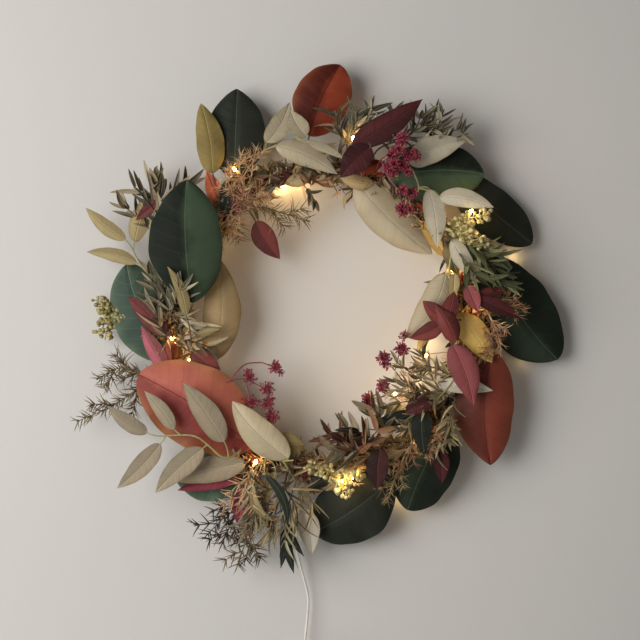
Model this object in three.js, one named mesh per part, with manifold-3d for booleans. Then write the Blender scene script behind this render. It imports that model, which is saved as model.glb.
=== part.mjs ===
// Autumn leaf wreath with micro lights, hung on a wall.
// Millimetres. +Z is up, +X is right as seen from the room, and the room is on the -Y side.
// The origin is the point where a wall hook carries the vine ring.

import * as THREE from "three";
import { mergeVertices } from "three/addons/utils/BufferGeometryUtils.js";
import Module from "manifold-3d";

const wasm = await Module();
wasm.setup();

// Driving sizes
const RING_RADIUS = 150;
const CORE_OUT = 16;
const STRANDS = 3;
const STRAND_RADIUS = 3.2;
const STRAND_OFFSET = 4.5;
const STRAND_TWISTS = 4;
const STRAND_STEPS = 32;
const GAP = 0.3;
const BLADE_THICKNESS = 0.9;
const BLADE_END = 0.7;
const STALK_RADIUS = 1.3;
const TWIG_RADIUS = 0.9;
const STEM_STEP = 14;
const STEM_LAP = 2;
const WHORL_HEIGHT = 1.2;
const WHORL_TWIST = 0.6;
const WIRE_RADIUS = 0.6;
const WRAP_RADIUS = 13;
const LAMP_RADIUS = 1.8;
const LAMP_LENGTH = 5;
// Between two lamps: the share of the way, and the angle round the ring's section.
// A long way goes round the back of the ring, and a short one along its front.
const LONG_WAY = THREE.MathUtils.degToRad(22);
const ROUND_BACK = [[0.18, 45], [0.4, -45], [0.6, -135], [0.82, 135]];
const ALONG_FRONT = [[0.35, 75], [0.65, 105]];
const LAMPS = [
  [146, 4, 46], [133, 50, 38], [150, 108, 42], [118, 104, 30], [70, 146, 30], [33, 180, 44],
  [-24, 139, 30], [-43, 137, 30], [-85, 150, 40], [-118, 84, 30], [-147, -18, 40], [-129, -40, 42],
  [-104, -104, 30], [-64, -141, 44], [14, -159, 44], [32, -155, 46], [98, -122, 40], [83, -88, 42],
  [75, -74, 40], [105, -35, 42],
];

// The lead, its coil past the lower edge of the view, and its plug in front of the coil
const LEAD_RADIUS = 1.2;
const SPLICE = { right: -21, out: 14, top: -156, bottom: -174, radius: 3 };
const LEAD_PATH = [
  [-21, -174.3, 14], [-21, -190, 14], [-23, -210, 13], [-24, -228, 12], [-18, -255, 11], [-12, -280, 10],
  [-13, -303, 10], [-15, -322, 10], [-15, -340, 10],
];
const COIL = { right: 2.8, up: -350, inner: 7, outer: 19, back: 8.8, front: 18.4 };
const TAIL_PATH = [
  [20.6, -340, 17.2], [20.4, -335, 18], [17.5, -331.4, 20.5], [12.5, -331.2, 22.9], [9.2, -334.5, 23.5],
  [9, -338, 23.5],
];
const PLUG = { right: 9, top: -338.3, out: 23.5, relief: 8, body: [16, 9, 28], shell: [12, 4.5, 12] };
const TIE_ANGLE = -150;
const TIE_WIDTH = 4;
const TIE_THICKNESS = 1;

const BUNDLE_RADIUS = STRAND_OFFSET + STRAND_RADIUS;
const RING_CENTRE_Z = -(RING_RADIUS - BUNDLE_RADIUS);

// Photo colours
const GREEN = "#2c4a42";
const GREY_GREEN = "#49685a";
const DEEP_GREEN = "#25302a";
const RUST = "#a04a35";
const RED_BROWN = "#7c2f20";
const PINK_ORANGE = "#c8735c";
const OLIVE_YELLOW = "#8c7c3c";
const CREAM = "#b5a994";
const TAN = "#8d7859";
const SAGE = "#9b9583";
const KHAKI = "#9c9264";
const BURGUNDY = "#5e1f2e";
const CRIMSON = "#8c2440";
const NARROW_GREEN = "#4a5240";
const NARROW_OLIVE = "#7c7a54";
const NARROW_BROWN = "#5a4236";
const TWIG_BROWN = "#6d5744";
const TWIG_BEIGE = "#a08863";
const TWIG_DARK = "#3f2f2a";
const BERRY = "#8f9450";
const VINE = "#4a3524";
const WIRE = "#b48a4a";
const LEAD = "#d9d5cc";

// Outlines of blades: the powers of the rise from the foot and the fall to the tip
const ROUND = { rise: 0.6, fall: 0.6, rows: 6, columns: 2 };
const OVAL = { rise: 0.7, fall: 0.75, rows: 6, columns: 2 };
const LONG = { rise: 0.55, fall: 0.8, rows: 4, columns: 2 };
const SLIM = { rise: 0.55, fall: 0.9, rows: 3, columns: 2 };
const POINTED = { rise: 0.6, fall: 0.95, rows: 3, columns: 2 };

// Places are [right, up, out]: from the ring's centre, and out from the wall
const place = ([right, up, out]) => new THREE.Vector3(right, CORE_OUT - out, RING_CENTRE_Z + up);

function onRing(degrees, offset = 0, out = CORE_OUT) {
  const angle = THREE.MathUtils.degToRad(degrees);
  const radius = RING_RADIUS + offset;
  return [radius * Math.cos(angle), radius * Math.sin(angle), out];
}

// The same draws on every run
function draws(seed) {
  let count = 0;
  return (low, high) => {
    count += 1;
    const value = Math.sin(count * 12.9898 + seed * 78.233) * 43758.5453;
    return low + (high - low) * (value - Math.floor(value));
  };
}

function solid(points, faces) {
  const vertProperties = Float32Array.from(points.flatMap((p) => [p.x, p.y, p.z]));
  const mesh = new wasm.Mesh({ numProp: 3, vertProperties, triVerts: Uint32Array.from(faces.flat()) });
  return new wasm.Manifold(mesh);
}

// The points and faces of a three.js solid, with its shared vertices merged
function merged(geometry) {
  geometry.deleteAttribute("normal");
  geometry.deleteAttribute("uv");
  const whole = mergeVertices(geometry, 1e-4);
  const position = whole.getAttribute("position");
  const point = (_, i) => new THREE.Vector3().fromBufferAttribute(position, i);
  const points = Array.from({ length: position.count }, point);
  const corners = Array.from(whole.index.array);
  const faces = [];
  for (let i = 0; i < corners.length; i += 3) {
    const [a, b, c] = corners.slice(i, i + 3);
    if (a !== b && b !== c && c !== a) faces.push([a, b, c]);
  }
  return { points, faces };
}

function fromGeometry(geometry) {
  const { points, faces } = merged(geometry);
  return solid(points, faces);
}

// A tapered round bar along a list of points, closed on itself or capped
function bar(points, radii, sides, closed = false) {
  const count = points.length;
  const rings = [];
  let across = new THREE.Vector3(0, 1, 0);
  points.forEach((point, i) => {
    const before = points[closed ? (i + count - 1) % count : Math.max(i - 1, 0)];
    const after = points[closed ? (i + 1) % count : Math.min(i + 1, count - 1)];
    const along = after.clone().sub(before).normalize();
    across = across.clone().addScaledVector(along, -across.dot(along)).normalize();
    const other = along.clone().cross(across);
    for (let j = 0; j < sides; j += 1) {
      const angle = (2 * Math.PI * j) / sides;
      rings.push(point.clone()
        .addScaledVector(across, radii[i] * Math.cos(angle))
        .addScaledVector(other, radii[i] * Math.sin(angle)));
    }
  });
  const faces = [];
  for (let i = 0; i < (closed ? count : count - 1); i += 1) {
    const next = (i + 1) % count;
    for (let j = 0; j < sides; j += 1) {
      const k = (j + 1) % sides;
      faces.push([i * sides + j, i * sides + k, next * sides + k]);
      faces.push([i * sides + j, next * sides + k, next * sides + j]);
    }
  }
  if (!closed) {
    for (let j = 1; j < sides - 1; j += 1) {
      const end = (count - 1) * sides;
      faces.push([0, j + 1, j]);
      faces.push([end, end + j, end + j + 1]);
    }
  }
  return solid(rings, faces);
}

function limb(path, from, to, sides = 4, stepsEach = 3) {
  const curve = new THREE.CatmullRomCurve3(path, false, "centripetal");
  const steps = Math.max(2, (path.length - 1) * stepsEach);
  return { curve, from, to, sides, steps };
}

function limbSolid({ curve, steps, points = curve.getPoints(steps), from, to, sides }, swell) {
  const radii = points.map((_, i) => from + ((to - from) * i) / (points.length - 1) + swell);
  return bar(points, radii, sides);
}

// The leaf's own directions: along it, out of its face, and across to its right
function bladeAxes({ foot, tip, roll = 0 }) {
  const start = place(foot);
  const along = place(tip).sub(start);
  const length = along.length();
  along.normalize();
  const face = new THREE.Vector3(0, -1, 0);
  face.addScaledVector(along, -face.dot(along)).normalize();
  face.applyAxisAngle(along, THREE.MathUtils.degToRad(roll));
  return { start, along, length, face, across: along.clone().cross(face) };
}

// Skins of quads between rings, and rings closed to a point; all rings turn the same way
function skin(faces, low, high) {
  low.forEach((corner, c) => {
    const d = (c + 1) % low.length;
    faces.push([corner, low[d], high[d]], [corner, high[d], high[c]]);
  });
}

function closeTo(faces, ring, tip) {
  ring.forEach((corner, c) => faces.push([corner, ring[(c + 1) % ring.length], tip]));
}

// A blade drawn out of the end of its stalk, bowed, arched out of the wall, cupped across and waved
function leafSolid(leaf, swell) {
  const { start, along, length, face, across } = bladeAxes(leaf);
  const { bow = 0, arch = 0, cup = 0, wave = 0, shape, width, stem } = leaf;
  const { rise, fall, rows, columns } = shape;
  const widest = rise / (rise + fall);
  const most = widest ** rise * (1 - widest) ** fall;
  const half = BLADE_THICKNESS / 2 + swell;
  const points = [];
  const faces = [];
  const wayOut = stem.curve.getPoints(stem.steps);
  let sideways = across.clone();
  const rings = wayOut.slice(0, -1).reverse().map((point, i) => {
    const way = wayOut[wayOut.length - 1 - i].clone().sub(point).normalize();
    sideways = sideways.clone().addScaledVector(way, -sideways.dot(way)).normalize();
    const outward = sideways.clone().cross(way);
    const size = stem.radius + swell;
    return [[-size, -size], [-size, size], [size, size], [size, -size]].map(([x, y]) => point.clone()
      .addScaledVector(sideways, 0.7 * x)
      .addScaledVector(outward, 0.7 * y));
  }).reverse();
  rings.forEach((ring) => points.push(...ring));
  for (let i = 1; i < rings.length; i += 1) {
    skin(faces, [0, 1, 2, 3].map((c) => 4 * (i - 1) + c), [0, 1, 2, 3].map((c) => 4 * i + c));
  }
  faces.push([0, 2, 1], [0, 3, 2]);
  const last = points.length - 4;
  const first = points.length;
  for (let i = 0; i <= rows; i += 1) {
    const even = i / rows;
    const s = 0.6 * even + 0.4 * (0.5 - 0.5 * Math.cos(Math.PI * even));
    const reach = Math.max(BLADE_END, ((width / 2) * s ** rise * (1 - s) ** fall) / most);
    const overrun = i === rows ? swell : 0;
    const hump = 4 * s * (1 - s);
    for (let side = -1; side <= 1; side += 2) {
      for (let j = 0; j <= columns; j += 1) {
        const t = (2 * j) / columns - 1;
        const edge = (reach / (width / 2)) * t * t;
        const out = arch * hump + cup * edge + wave * edge * Math.sin(9 * s + 2.2 * t);
        points.push(start.clone()
          .addScaledVector(along, length * s + overrun)
          .addScaledVector(across, bow * hump + (reach + swell) * t)
          .addScaledVector(face, out + side * half));
      }
    }
  }
  const wide = columns + 1;
  const back = (i, j) => first + 2 * wide * i + j;
  const front = (i, j) => back(i, j) + wide;
  const quad = (a, b, c, d) => faces.push([a, b, c], [a, c, d]);
  for (let i = 0; i < rows; i += 1) {
    for (let j = 0; j < columns; j += 1) {
      const corners = [[i, j], [i, j + 1], [i + 1, j + 1], [i + 1, j]];
      const turned = 2 * j < columns ? corners : [...corners.slice(1), corners[0]];
      quad(...turned.map((corner) => front(...corner)));
      const [p, q, r, s] = turned.map((corner) => back(...corner));
      faces.push([p, r, q], [p, s, r]);
    }
    quad(back(i, 0), front(i, 0), front(i + 1, 0), back(i + 1, 0));
    quad(front(i, columns), back(i, columns), back(i + 1, columns), front(i + 1, columns));
  }
  for (let j = 0; j < columns; j += 1) {
    quad(back(rows, j), front(rows, j), front(rows, j + 1), back(rows, j + 1));
    faces.push([last + (2 * j < columns ? 1 : 2), front(0, j + 1), front(0, j)]);
    faces.push([last + (2 * j < columns ? 0 : 3), back(0, j), back(0, j + 1)]);
  }
  faces.push([last + 1, last + 2, front(0, columns / 2)]);
  faces.push([last + 3, last, back(0, columns / 2)]);
  quad(last, last + 1, front(0, 0), back(0, 0));
  quad(last + 2, last + 3, back(0, columns), front(0, columns));
  return solid(points, faces);
}

// Needles, narrow leaves or berries in whorls, all drawn straight out of the sides of one stem.
// A section is [share of the reach, half width, half height] between a leaf's root and its tip.
function bristleSolid(spray, swell) {
  const { curve, start, radius, whorls, length, lean, flat, sections } = spray;
  const { shoots, shootLength, shootWhorls, seed } = spray;
  const draw = draws(seed);
  const points = [];
  const faces = [];
  const add = (point) => points.push(point) - 1;

  const frameAt = (way, s) => {
    const along = way.getTangentAt(s);
    const side = new THREE.Vector3(0, 1, 0).cross(along).normalize();
    return { centre: way.getPointAt(s), along, side, out: along.clone().cross(side) };
  };

  const circle = (way, s, turn, corners, size) => {
    const { centre, side, out } = frameAt(way, Math.min(Math.max(s, 0), 1));
    return Array.from({ length: corners }, (_, j) => {
      const angle = turn + (2 * Math.PI * j) / corners;
      return add(centre.clone()
        .addScaledVector(side, size * Math.cos(angle))
        .addScaledVector(out, size * Math.sin(angle)));
    });
  };

  const middleOf = (corners) => corners.reduce((sum, corner) => sum.add(points[corner]), new THREE.Vector3())
    .divideScalar(corners.length);

  const leaf = (corners, root, direction, reach) => {
    const across = points[corners[1]].clone().sub(points[corners[0]]);
    across.addScaledVector(direction, -across.dot(direction)).normalize();
    const up = direction.clone().cross(across);
    let base = corners;
    sections.forEach(([share, wide, high]) => {
      const middle = root.clone().addScaledVector(direction, share * reach);
      const [x, y] = [wide + swell, high + swell];
      const next = [[-x, -y], [x, -y], [x, y], [-x, y]].map(([right, upward]) => add(middle.clone()
        .addScaledVector(across, right)
        .addScaledVector(up, upward)));
      skin(faces, base, next);
      base = next;
    });
    closeTo(faces, base, add(root.clone().addScaledVector(direction, reach + 2 * swell)));
  };

  const grow = (way, from, ring, turn, size, count, hasShoots) => {
    const total = way.getLength();
    let last = ring;
    for (let k = 0; k < count; k += 1) {
      const s = from + ((1 - from) * (k + 0.8)) / (count + 0.3);
      const angle = turn + WHORL_TWIST * (k + 1);
      const thick = size * (1 - 0.3 * s) + swell;
      const low = circle(way, s - WHORL_HEIGHT / 2 / total, angle, ring.length, thick);
      const high = circle(way, s + WHORL_HEIGHT / 2 / total, angle, ring.length, thick);
      skin(faces, last, low);
      const { centre, along, side } = frameAt(way, s);
      const sides = low.map((corner, c) => {
        const d = (c + 1) % low.length;
        const corners = [corner, low[d], high[d], high[c]];
        const root = middleOf(corners);
        const outward = root.clone().sub(centre);
        outward.addScaledVector(along, -outward.dot(along)).normalize();
        return { corners, root, outward };
      });
      const sideways = ({ outward }) => (k % 2 ? 1 : -1) * outward.dot(side);
      const chosen = sides.reduce((best, one) => (sideways(one) > sideways(best) ? one : best));
      sides.forEach((one) => {
        const { corners, root, outward } = one;
        const shooting = hasShoots && one === chosen && k < shoots;
        outward.y *= shooting ? 0.5 : flat;
        outward.addScaledVector(along, -outward.dot(along)).normalize();
        const tilt = THREE.MathUtils.degToRad(shooting ? 48 : lean);
        const direction = along.clone().multiplyScalar(Math.cos(tilt));
        direction.addScaledVector(outward, Math.sin(tilt));
        if (!shooting) {
          leaf(corners, root, direction, length * draw(0.82, 1.12) * (1 - 0.25 * s));
          return;
        }
        const reach = shootLength * draw(0.85, 1.15) * (1 - 0.4 * s);
        const end = root.clone().addScaledVector(direction, reach).addScaledVector(along, 0.2 * reach);
        const middle = root.clone().addScaledVector(direction, reach / 2);
        const shoot = new THREE.CatmullRomCurve3([root, middle, end]);
        const base = frameAt(shoot, 0);
        const arm = points[corners[0]].clone().sub(root);
        grow(shoot, 0, corners, Math.atan2(arm.dot(base.out), arm.dot(base.side)), 0.7, shootWhorls, false);
      });
      last = high;
    }
    closeTo(faces, last, add(way.getPointAt(1).addScaledVector(way.getTangentAt(1), 0.3 * length + swell)));
  };

  const root = circle(curve, start, seed, 3, radius + swell);
  faces.push([root[0], root[2], root[1]]);
  grow(curve, start, root, seed, radius, whorls, shoots > 0);
  return solid(points, faces);
}

// A stem starts on the ring where its first entry is an angle in degrees
const stemPath = (stem) => stem.map((point) => place(typeof point === "number" ? onRing(point) : point));

// A big leaf on a wire stalk that comes out of the ring's core
function singleLeaf(name, colour, root, leaf) {
  const { start, along } = bladeAxes(leaf);
  const core = place(onRing(root));
  const lift = 0.7 * (leaf.foot[2] - CORE_OUT);
  const curve = new THREE.CubicBezierCurve3(
    core,
    core.clone().add(new THREE.Vector3(0, -lift, 0)),
    start.clone().addScaledVector(along, -0.35 * core.distanceTo(start)),
    start,
  );
  const stem = { curve, radius: STALK_RADIUS, steps: 3 };
  return { name, colour, limbs: [], ways: [{ ...stem, from: STALK_RADIUS, to: STALK_RADIUS, sides: 4 }],
    leaves: [{ ...leaf, stem }] };
}

// Leaves of one kind on shared stems; a leaf's joint is the point of the stem that it leaves
function leafySprig(name, colour, stems, rows) {
  const limbs = stems.map((stem) => limb(stemPath(stem), 1.1, 0.8, 4, 2));
  const leaves = rows.map((leaf) => {
    const { start, along } = bladeAxes(leaf);
    const joint = place(leaf.joint);
    const before = start.clone().addScaledVector(along, -0.4 * joint.distanceTo(start));
    const curve = new THREE.QuadraticBezierCurve3(joint, before, start);
    return { ...leaf, stem: { curve, radius: 0.8, steps: 2 } };
  });
  return { name, colour, limbs, leaves };
}

// A bare stem from the ring, then whorls from the share where they begin
function spray(name, colour, stems, rule) {
  const limbs = [];
  const bristles = stems.map((stem, which) => {
    const curve = new THREE.CatmullRomCurve3(stemPath(stem), false, "centripetal");
    const rooted = typeof stem[0] === "number";
    const start = rooted ? rule.first : 0;
    if (rooted) {
      const length = curve.getLength();
      const end = start + STEM_LAP / length;
      const steps = Math.max(3, Math.round((end * length) / STEM_STEP));
      const points = Array.from({ length: steps + 1 }, (_, i) => curve.getPointAt((end * i) / steps));
      limbs.push({ points, from: TWIG_RADIUS, to: 0.5, sides: 4 });
    }
    const fewer = rooted ? 0 : 1;
    return {
      ...rule, curve, start, radius: TWIG_RADIUS, seed: rule.seed + which,
      whorls: rule.whorls - fewer, shoots: Math.max(0, rule.shoots - fewer),
    };
  });
  return { name, colour, limbs, bristles };
}

const narrowSprig = (name, colour, stems, rule) => spray(name, colour, stems, {
  flat: 0.6, sections: [[0.45, rule.width / 2, BLADE_THICKNESS / 2]], shoots: 0, ...rule,
});

const needleTwig = (name, colour, stems, rule) => spray(name, colour, stems, {
  lean: 50, flat: 0.8, sections: [], shootWhorls: 2, ...rule,
});

// A berry's two sections: its neck and its waist
function berryBunch(name, colour, stems, rule) {
  const { length, radius } = rule;
  const share = (offset) => 1 - (radius * (1 - offset)) / length;
  const sections = [[share(-0.95), 0.45, 0.45], [share(0.1), 0.8 * radius, 0.8 * radius]];
  return spray(name, colour, stems, { lean: 62, flat: 0.85, sections, shoots: 0, ...rule });
}

// Star-like heads: each is a thick short spike of whorls at the end of its own stalk
function seedHeads(name, colour, stems, heads, rule) {
  const limbs = stems.map((stem) => limb(stemPath(stem), TWIG_RADIUS, 0.65, 4, 2));
  const bristles = heads.map(({ at, joint }, k) => {
    const curve = new THREE.LineCurve3(place(joint), place(at));
    const start = 0;
    return { ...rule, curve, start, seed: k };
  });
  return { name, colour, limbs, bristles };
}

// The ring: vine strands twisted round one core, each closed on itself
function vineStrand(number) {
  const points = [];
  const radii = [];
  for (let i = 0; i < STRAND_STEPS; i += 1) {
    const turn = (2 * Math.PI * i) / STRAND_STEPS;
    const twist = STRAND_TWISTS * turn + (2 * Math.PI * number) / STRANDS;
    const offset = STRAND_OFFSET * Math.cos(twist);
    const out = CORE_OUT + STRAND_OFFSET * Math.sin(twist);
    points.push(place(onRing(THREE.MathUtils.radToDeg(turn), offset, out)));
    radii.push(STRAND_RADIUS * (1 - 0.06 * Math.sin(5 * turn + 2 * number)));
  }
  const build = (swell) => bar(points, radii.map((radius) => radius + swell), 5, true);
  return { name: `vine_strand_${number + 1}`, colour: VINE, roughness: 0.85, build };
}

// The light string: out to each lamp among the leaves, and round the back of the ring between them
function lightString() {
  const lamps = LAMPS.map(place);
  const centre = place([0, 0, CORE_OUT]);
  const angles = lamps.map((lamp) => Math.atan2(lamp.z - centre.z, lamp.x - centre.x));
  const route = [];
  lamps.forEach((lamp, i) => {
    const turn = (angles[(i + 1) % lamps.length] - angles[i] + 4 * Math.PI) % (2 * Math.PI);
    const inward = lamp.clone().sub(centre).setY(0).normalize().multiplyScalar(-LAMP_LENGTH / 2);
    route.push([lamp.clone().sub(inward), WIRE_RADIUS]);
    route.push([lamp, LAMP_RADIUS]);
    route.push([lamp.clone().add(inward), WIRE_RADIUS]);
    (turn > LONG_WAY ? ROUND_BACK : ALONG_FRONT).forEach(([share, degrees]) => {
      const wrap = THREE.MathUtils.degToRad(degrees);
      const round = THREE.MathUtils.radToDeg(angles[i] + share * turn);
      const out = CORE_OUT + WRAP_RADIUS * Math.sin(wrap);
      route.push([place(onRing(round, WRAP_RADIUS * Math.cos(wrap), out)), WIRE_RADIUS]);
    });
  });
  const points = route.map(([point]) => point);
  const radii = route.map(([, radius]) => radius);
  const build = (swell) => bar(points, radii.map((radius) => radius + swell), 3, true);
  return { name: "light_string", colour: WIRE, roughness: 0.4, metalness: 0.6, build };
}

// Solids for the lead's fittings: turned about an upright or a front-to-back axis, and square blocks
function turned(outline, centre, upright, segments) {
  const geometry = new THREE.LatheGeometry(outline.map(([x, y]) => new THREE.Vector2(x, y)), segments);
  if (upright) geometry.rotateX(Math.PI / 2);
  geometry.translate(centre.x, centre.y, centre.z);
  return fromGeometry(geometry);
}

function block([width, depth, height], centre, degrees = 0) {
  const geometry = new THREE.BoxGeometry(width, depth, height);
  geometry.rotateY(THREE.MathUtils.degToRad(-degrees));
  geometry.translate(centre.x, centre.y, centre.z);
  return fromGeometry(geometry);
}

function tube(path, swell) {
  const curve = new THREE.CatmullRomCurve3(path.map(place), false, "centripetal");
  const radius = LEAD_RADIUS + swell;
  const corners = Array.from({ length: 8 }, (_, j) => new THREE.Vector2(
    radius * Math.cos((Math.PI * j) / 4),
    radius * Math.sin((Math.PI * j) / 4),
  ));
  const steps = Math.ceil(curve.getLength() / (5 * LEAD_RADIUS));
  return fromGeometry(new THREE.ExtrudeGeometry(new THREE.Shape(corners), { steps, extrudePath: curve }));
}

function leadSplice(swell) {
  const { right, out, top, bottom, radius } = SPLICE;
  const size = radius + swell;
  const low = bottom - swell;
  const outline = [[0, low], [0.6 * size, low], [size, low + 2], [size, top], [0, top]];
  return turned(outline, place([right, 0, out]), true, 10);
}

function leadCoil(swell) {
  const { right, up, inner, outer, back, front } = COIL;
  const [low, high] = [inner - swell, outer + swell];
  const [near, far] = [-front - swell, -back + swell];
  const outline = [
    [low, near + 2], [low + 2, near], [high - 2, near], [high, near + 2],
    [high, far - 2], [high - 2, far], [low + 2, far], [low, far - 2], [low, near + 2],
  ];
  return turned(outline, place([right, up, 0]), false, 22);
}

function usbPlug() {
  const { right, top, out, relief, body, shell } = PLUG;
  const at = (up) => place([right, up, out]);
  const sleeve = [[0, top - relief - 1], [3.4, top - relief - 1], [2.2, top], [0, top]];
  const bodyTop = top - relief;
  const shellTop = bodyTop - body[2];
  return join([
    turned(sleeve, at(0), true, 8),
    block(body, at(bodyTop - body[2] / 2)),
    block([shell[0], shell[1], shell[2] + 1], at(shellTop + (1 - shell[2]) / 2)),
  ]);
}

function coilTie() {
  const { right, up, inner, outer, back, front } = COIL;
  const turn = THREE.MathUtils.degToRad(TIE_ANGLE);
  const middle = (inner + outer) / 2;
  const centre = place([right + middle * Math.cos(turn), up + middle * Math.sin(turn), (back + front) / 2]);
  const inside = [outer - inner + 3 * GAP, front - back + 2 * GAP];
  const outside = inside.map((size) => size + 2 * TIE_THICKNESS);
  return block([...outside, TIE_WIDTH], centre, TIE_ANGLE)
    .subtract(block([...inside, 2 * TIE_WIDTH], centre, TIE_ANGLE));
}

// Joins and cuts
function join(solids) {
  if (!solids.length) return null;
  return solids.reduce((whole, piece) => whole.add(piece));
}

function meets(a, b) {
  const [p, q] = [a.boundingBox(), b.boundingBox()];
  return [0, 1, 2].every((axis) => p.min[axis] <= q.max[axis] && q.min[axis] <= p.max[axis]);
}

const clearOf = (body, other) => (body && other && meets(body, other) ? body.subtract(other) : body);

function largest(body) {
  return body.decompose().reduce((most, piece) => (piece.volume() > most.volume() ? piece : most));
}

// A plan's stems, and the room that they need: a big leaf's stalk is in one skin with its blade
function frameOf({ build, limbs }, swell) {
  return build ? build(swell) : join(limbs.map((piece) => limbSolid(piece, swell)));
}

const roomOf = ({ build, limbs, ways = [] }) => frameOf({ build, limbs: limbs && [...limbs, ...ways] }, GAP);

function fleshOf({ leaves = [], bristles = [] }, swell) {
  return join([
    ...leaves.map((piece) => leafSolid(piece, swell)),
    ...bristles.map((piece) => bristleSolid(piece, swell)),
  ]);
}

// Big leaves: root is the angle round the ring where the stalk starts
const BIG_LEAVES = [
  ["green_leaf_front_left", GREEN, 174,
    { foot: [-125, 17, 60], tip: [-131, 138, 60], width: 73, bow: -4, arch: 8, cup: -6, wave: 1.5, shape: OVAL }],
  ["green_leaf_behind_left", GREY_GREEN, 197,
    { foot: [-152, -42, 30], tip: [-194, 56, 24], width: 60, bow: -6, arch: 4, cup: -5, shape: ROUND }],
  ["green_leaf_top_left", DEEP_GREEN, 124,
    { foot: [-86, 142, 32], tip: [-83, 232, 22], width: 60, arch: 5, cup: -6, wave: 1, shape: OVAL }],
  ["green_leaf_top_right", GREEN, 64,
    { foot: [62, 140, 34], tip: [164, 146, 30], width: 60, bow: -6, arch: 5, cup: -5, shape: ROUND }],
  ["green_leaf_right_high", DEEP_GREEN, 44,
    { foot: [132, 144, 25], tip: [214, 77, 14], width: 48, bow: 1, arch: 3, cup: -4, shape: ROUND }],
  ["green_leaf_right", GREEN, 20,
    { foot: [167, 61, 30], tip: [239, -40, 18], width: 73, bow: 6, arch: 6, cup: -8, shape: ROUND }],
  ["green_leaf_lower_right", GREEN, -41,
    { foot: [128, -106, 34], tip: [88, -191, 22], width: 64, bow: 4, arch: 6, cup: -6, shape: ROUND }],
  ["green_leaf_bottom", DEEP_GREEN, -67,
    { foot: [72, -158, 32], tip: [-8, -214, 20], width: 68, bow: -4, arch: 6, cup: -7, wave: 2, shape: ROUND }],
  ["green_leaf_bottom_left", GREY_GREEN, 243,
    { foot: [-72, -152, 29], tip: [-148, -152, 22], width: 64, bow: 2, arch: 3, cup: -4, shape: ROUND }],
  ["rust_leaf_left", RUST, 226,
    { foot: [-66, -124, 50], tip: [-180, -54, 46], width: 82, bow: 4, arch: 10, cup: -8, wave: 2.5, shape: ROUND }],
  ["rust_leaf_top", RED_BROWN, 91,
    { foot: [-11, 184, 33], tip: [20, 256, 26], width: 56, bow: -3, arch: 4, cup: -6, shape: ROUND }],
  ["rust_leaf_right", RUST, -17,
    { foot: [172, -30, 40], tip: [171, -145, 30], width: 60, bow: 8, arch: 8, cup: -9, shape: OVAL }],
  ["pink_leaf_top_left", PINK_ORANGE, 132,
    { foot: [-96, 108, 34], tip: [-113, 148, 36], width: 18, arch: 2, shape: LONG }],
  ["olive_leaf_top_left", OLIVE_YELLOW, 130,
    { foot: [-107, 146, 38], tip: [-119, 216, 34], width: 28, bow: 3, arch: 3, cup: -3, wave: 1, shape: LONG }],
  ["tan_leaf_left", TAN, 193,
    { foot: [-106, -40, 36], tip: [-103, 64, 40], width: 38, bow: 7, arch: 5, cup: -5, shape: LONG }],
  ["cream_leaf_top", CREAM, 72,
    { foot: [36, 138, 38], tip: [112, 66, 32], width: 42, bow: 4, arch: 4, cup: -5, shape: LONG }],
  ["grey_leaf_bottom_left", SAGE, 238,
    { foot: [-74, -142, 46], tip: [-146, -159, 42], width: 27, bow: 2, arch: 3, cup: -3, shape: LONG }],
];

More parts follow.
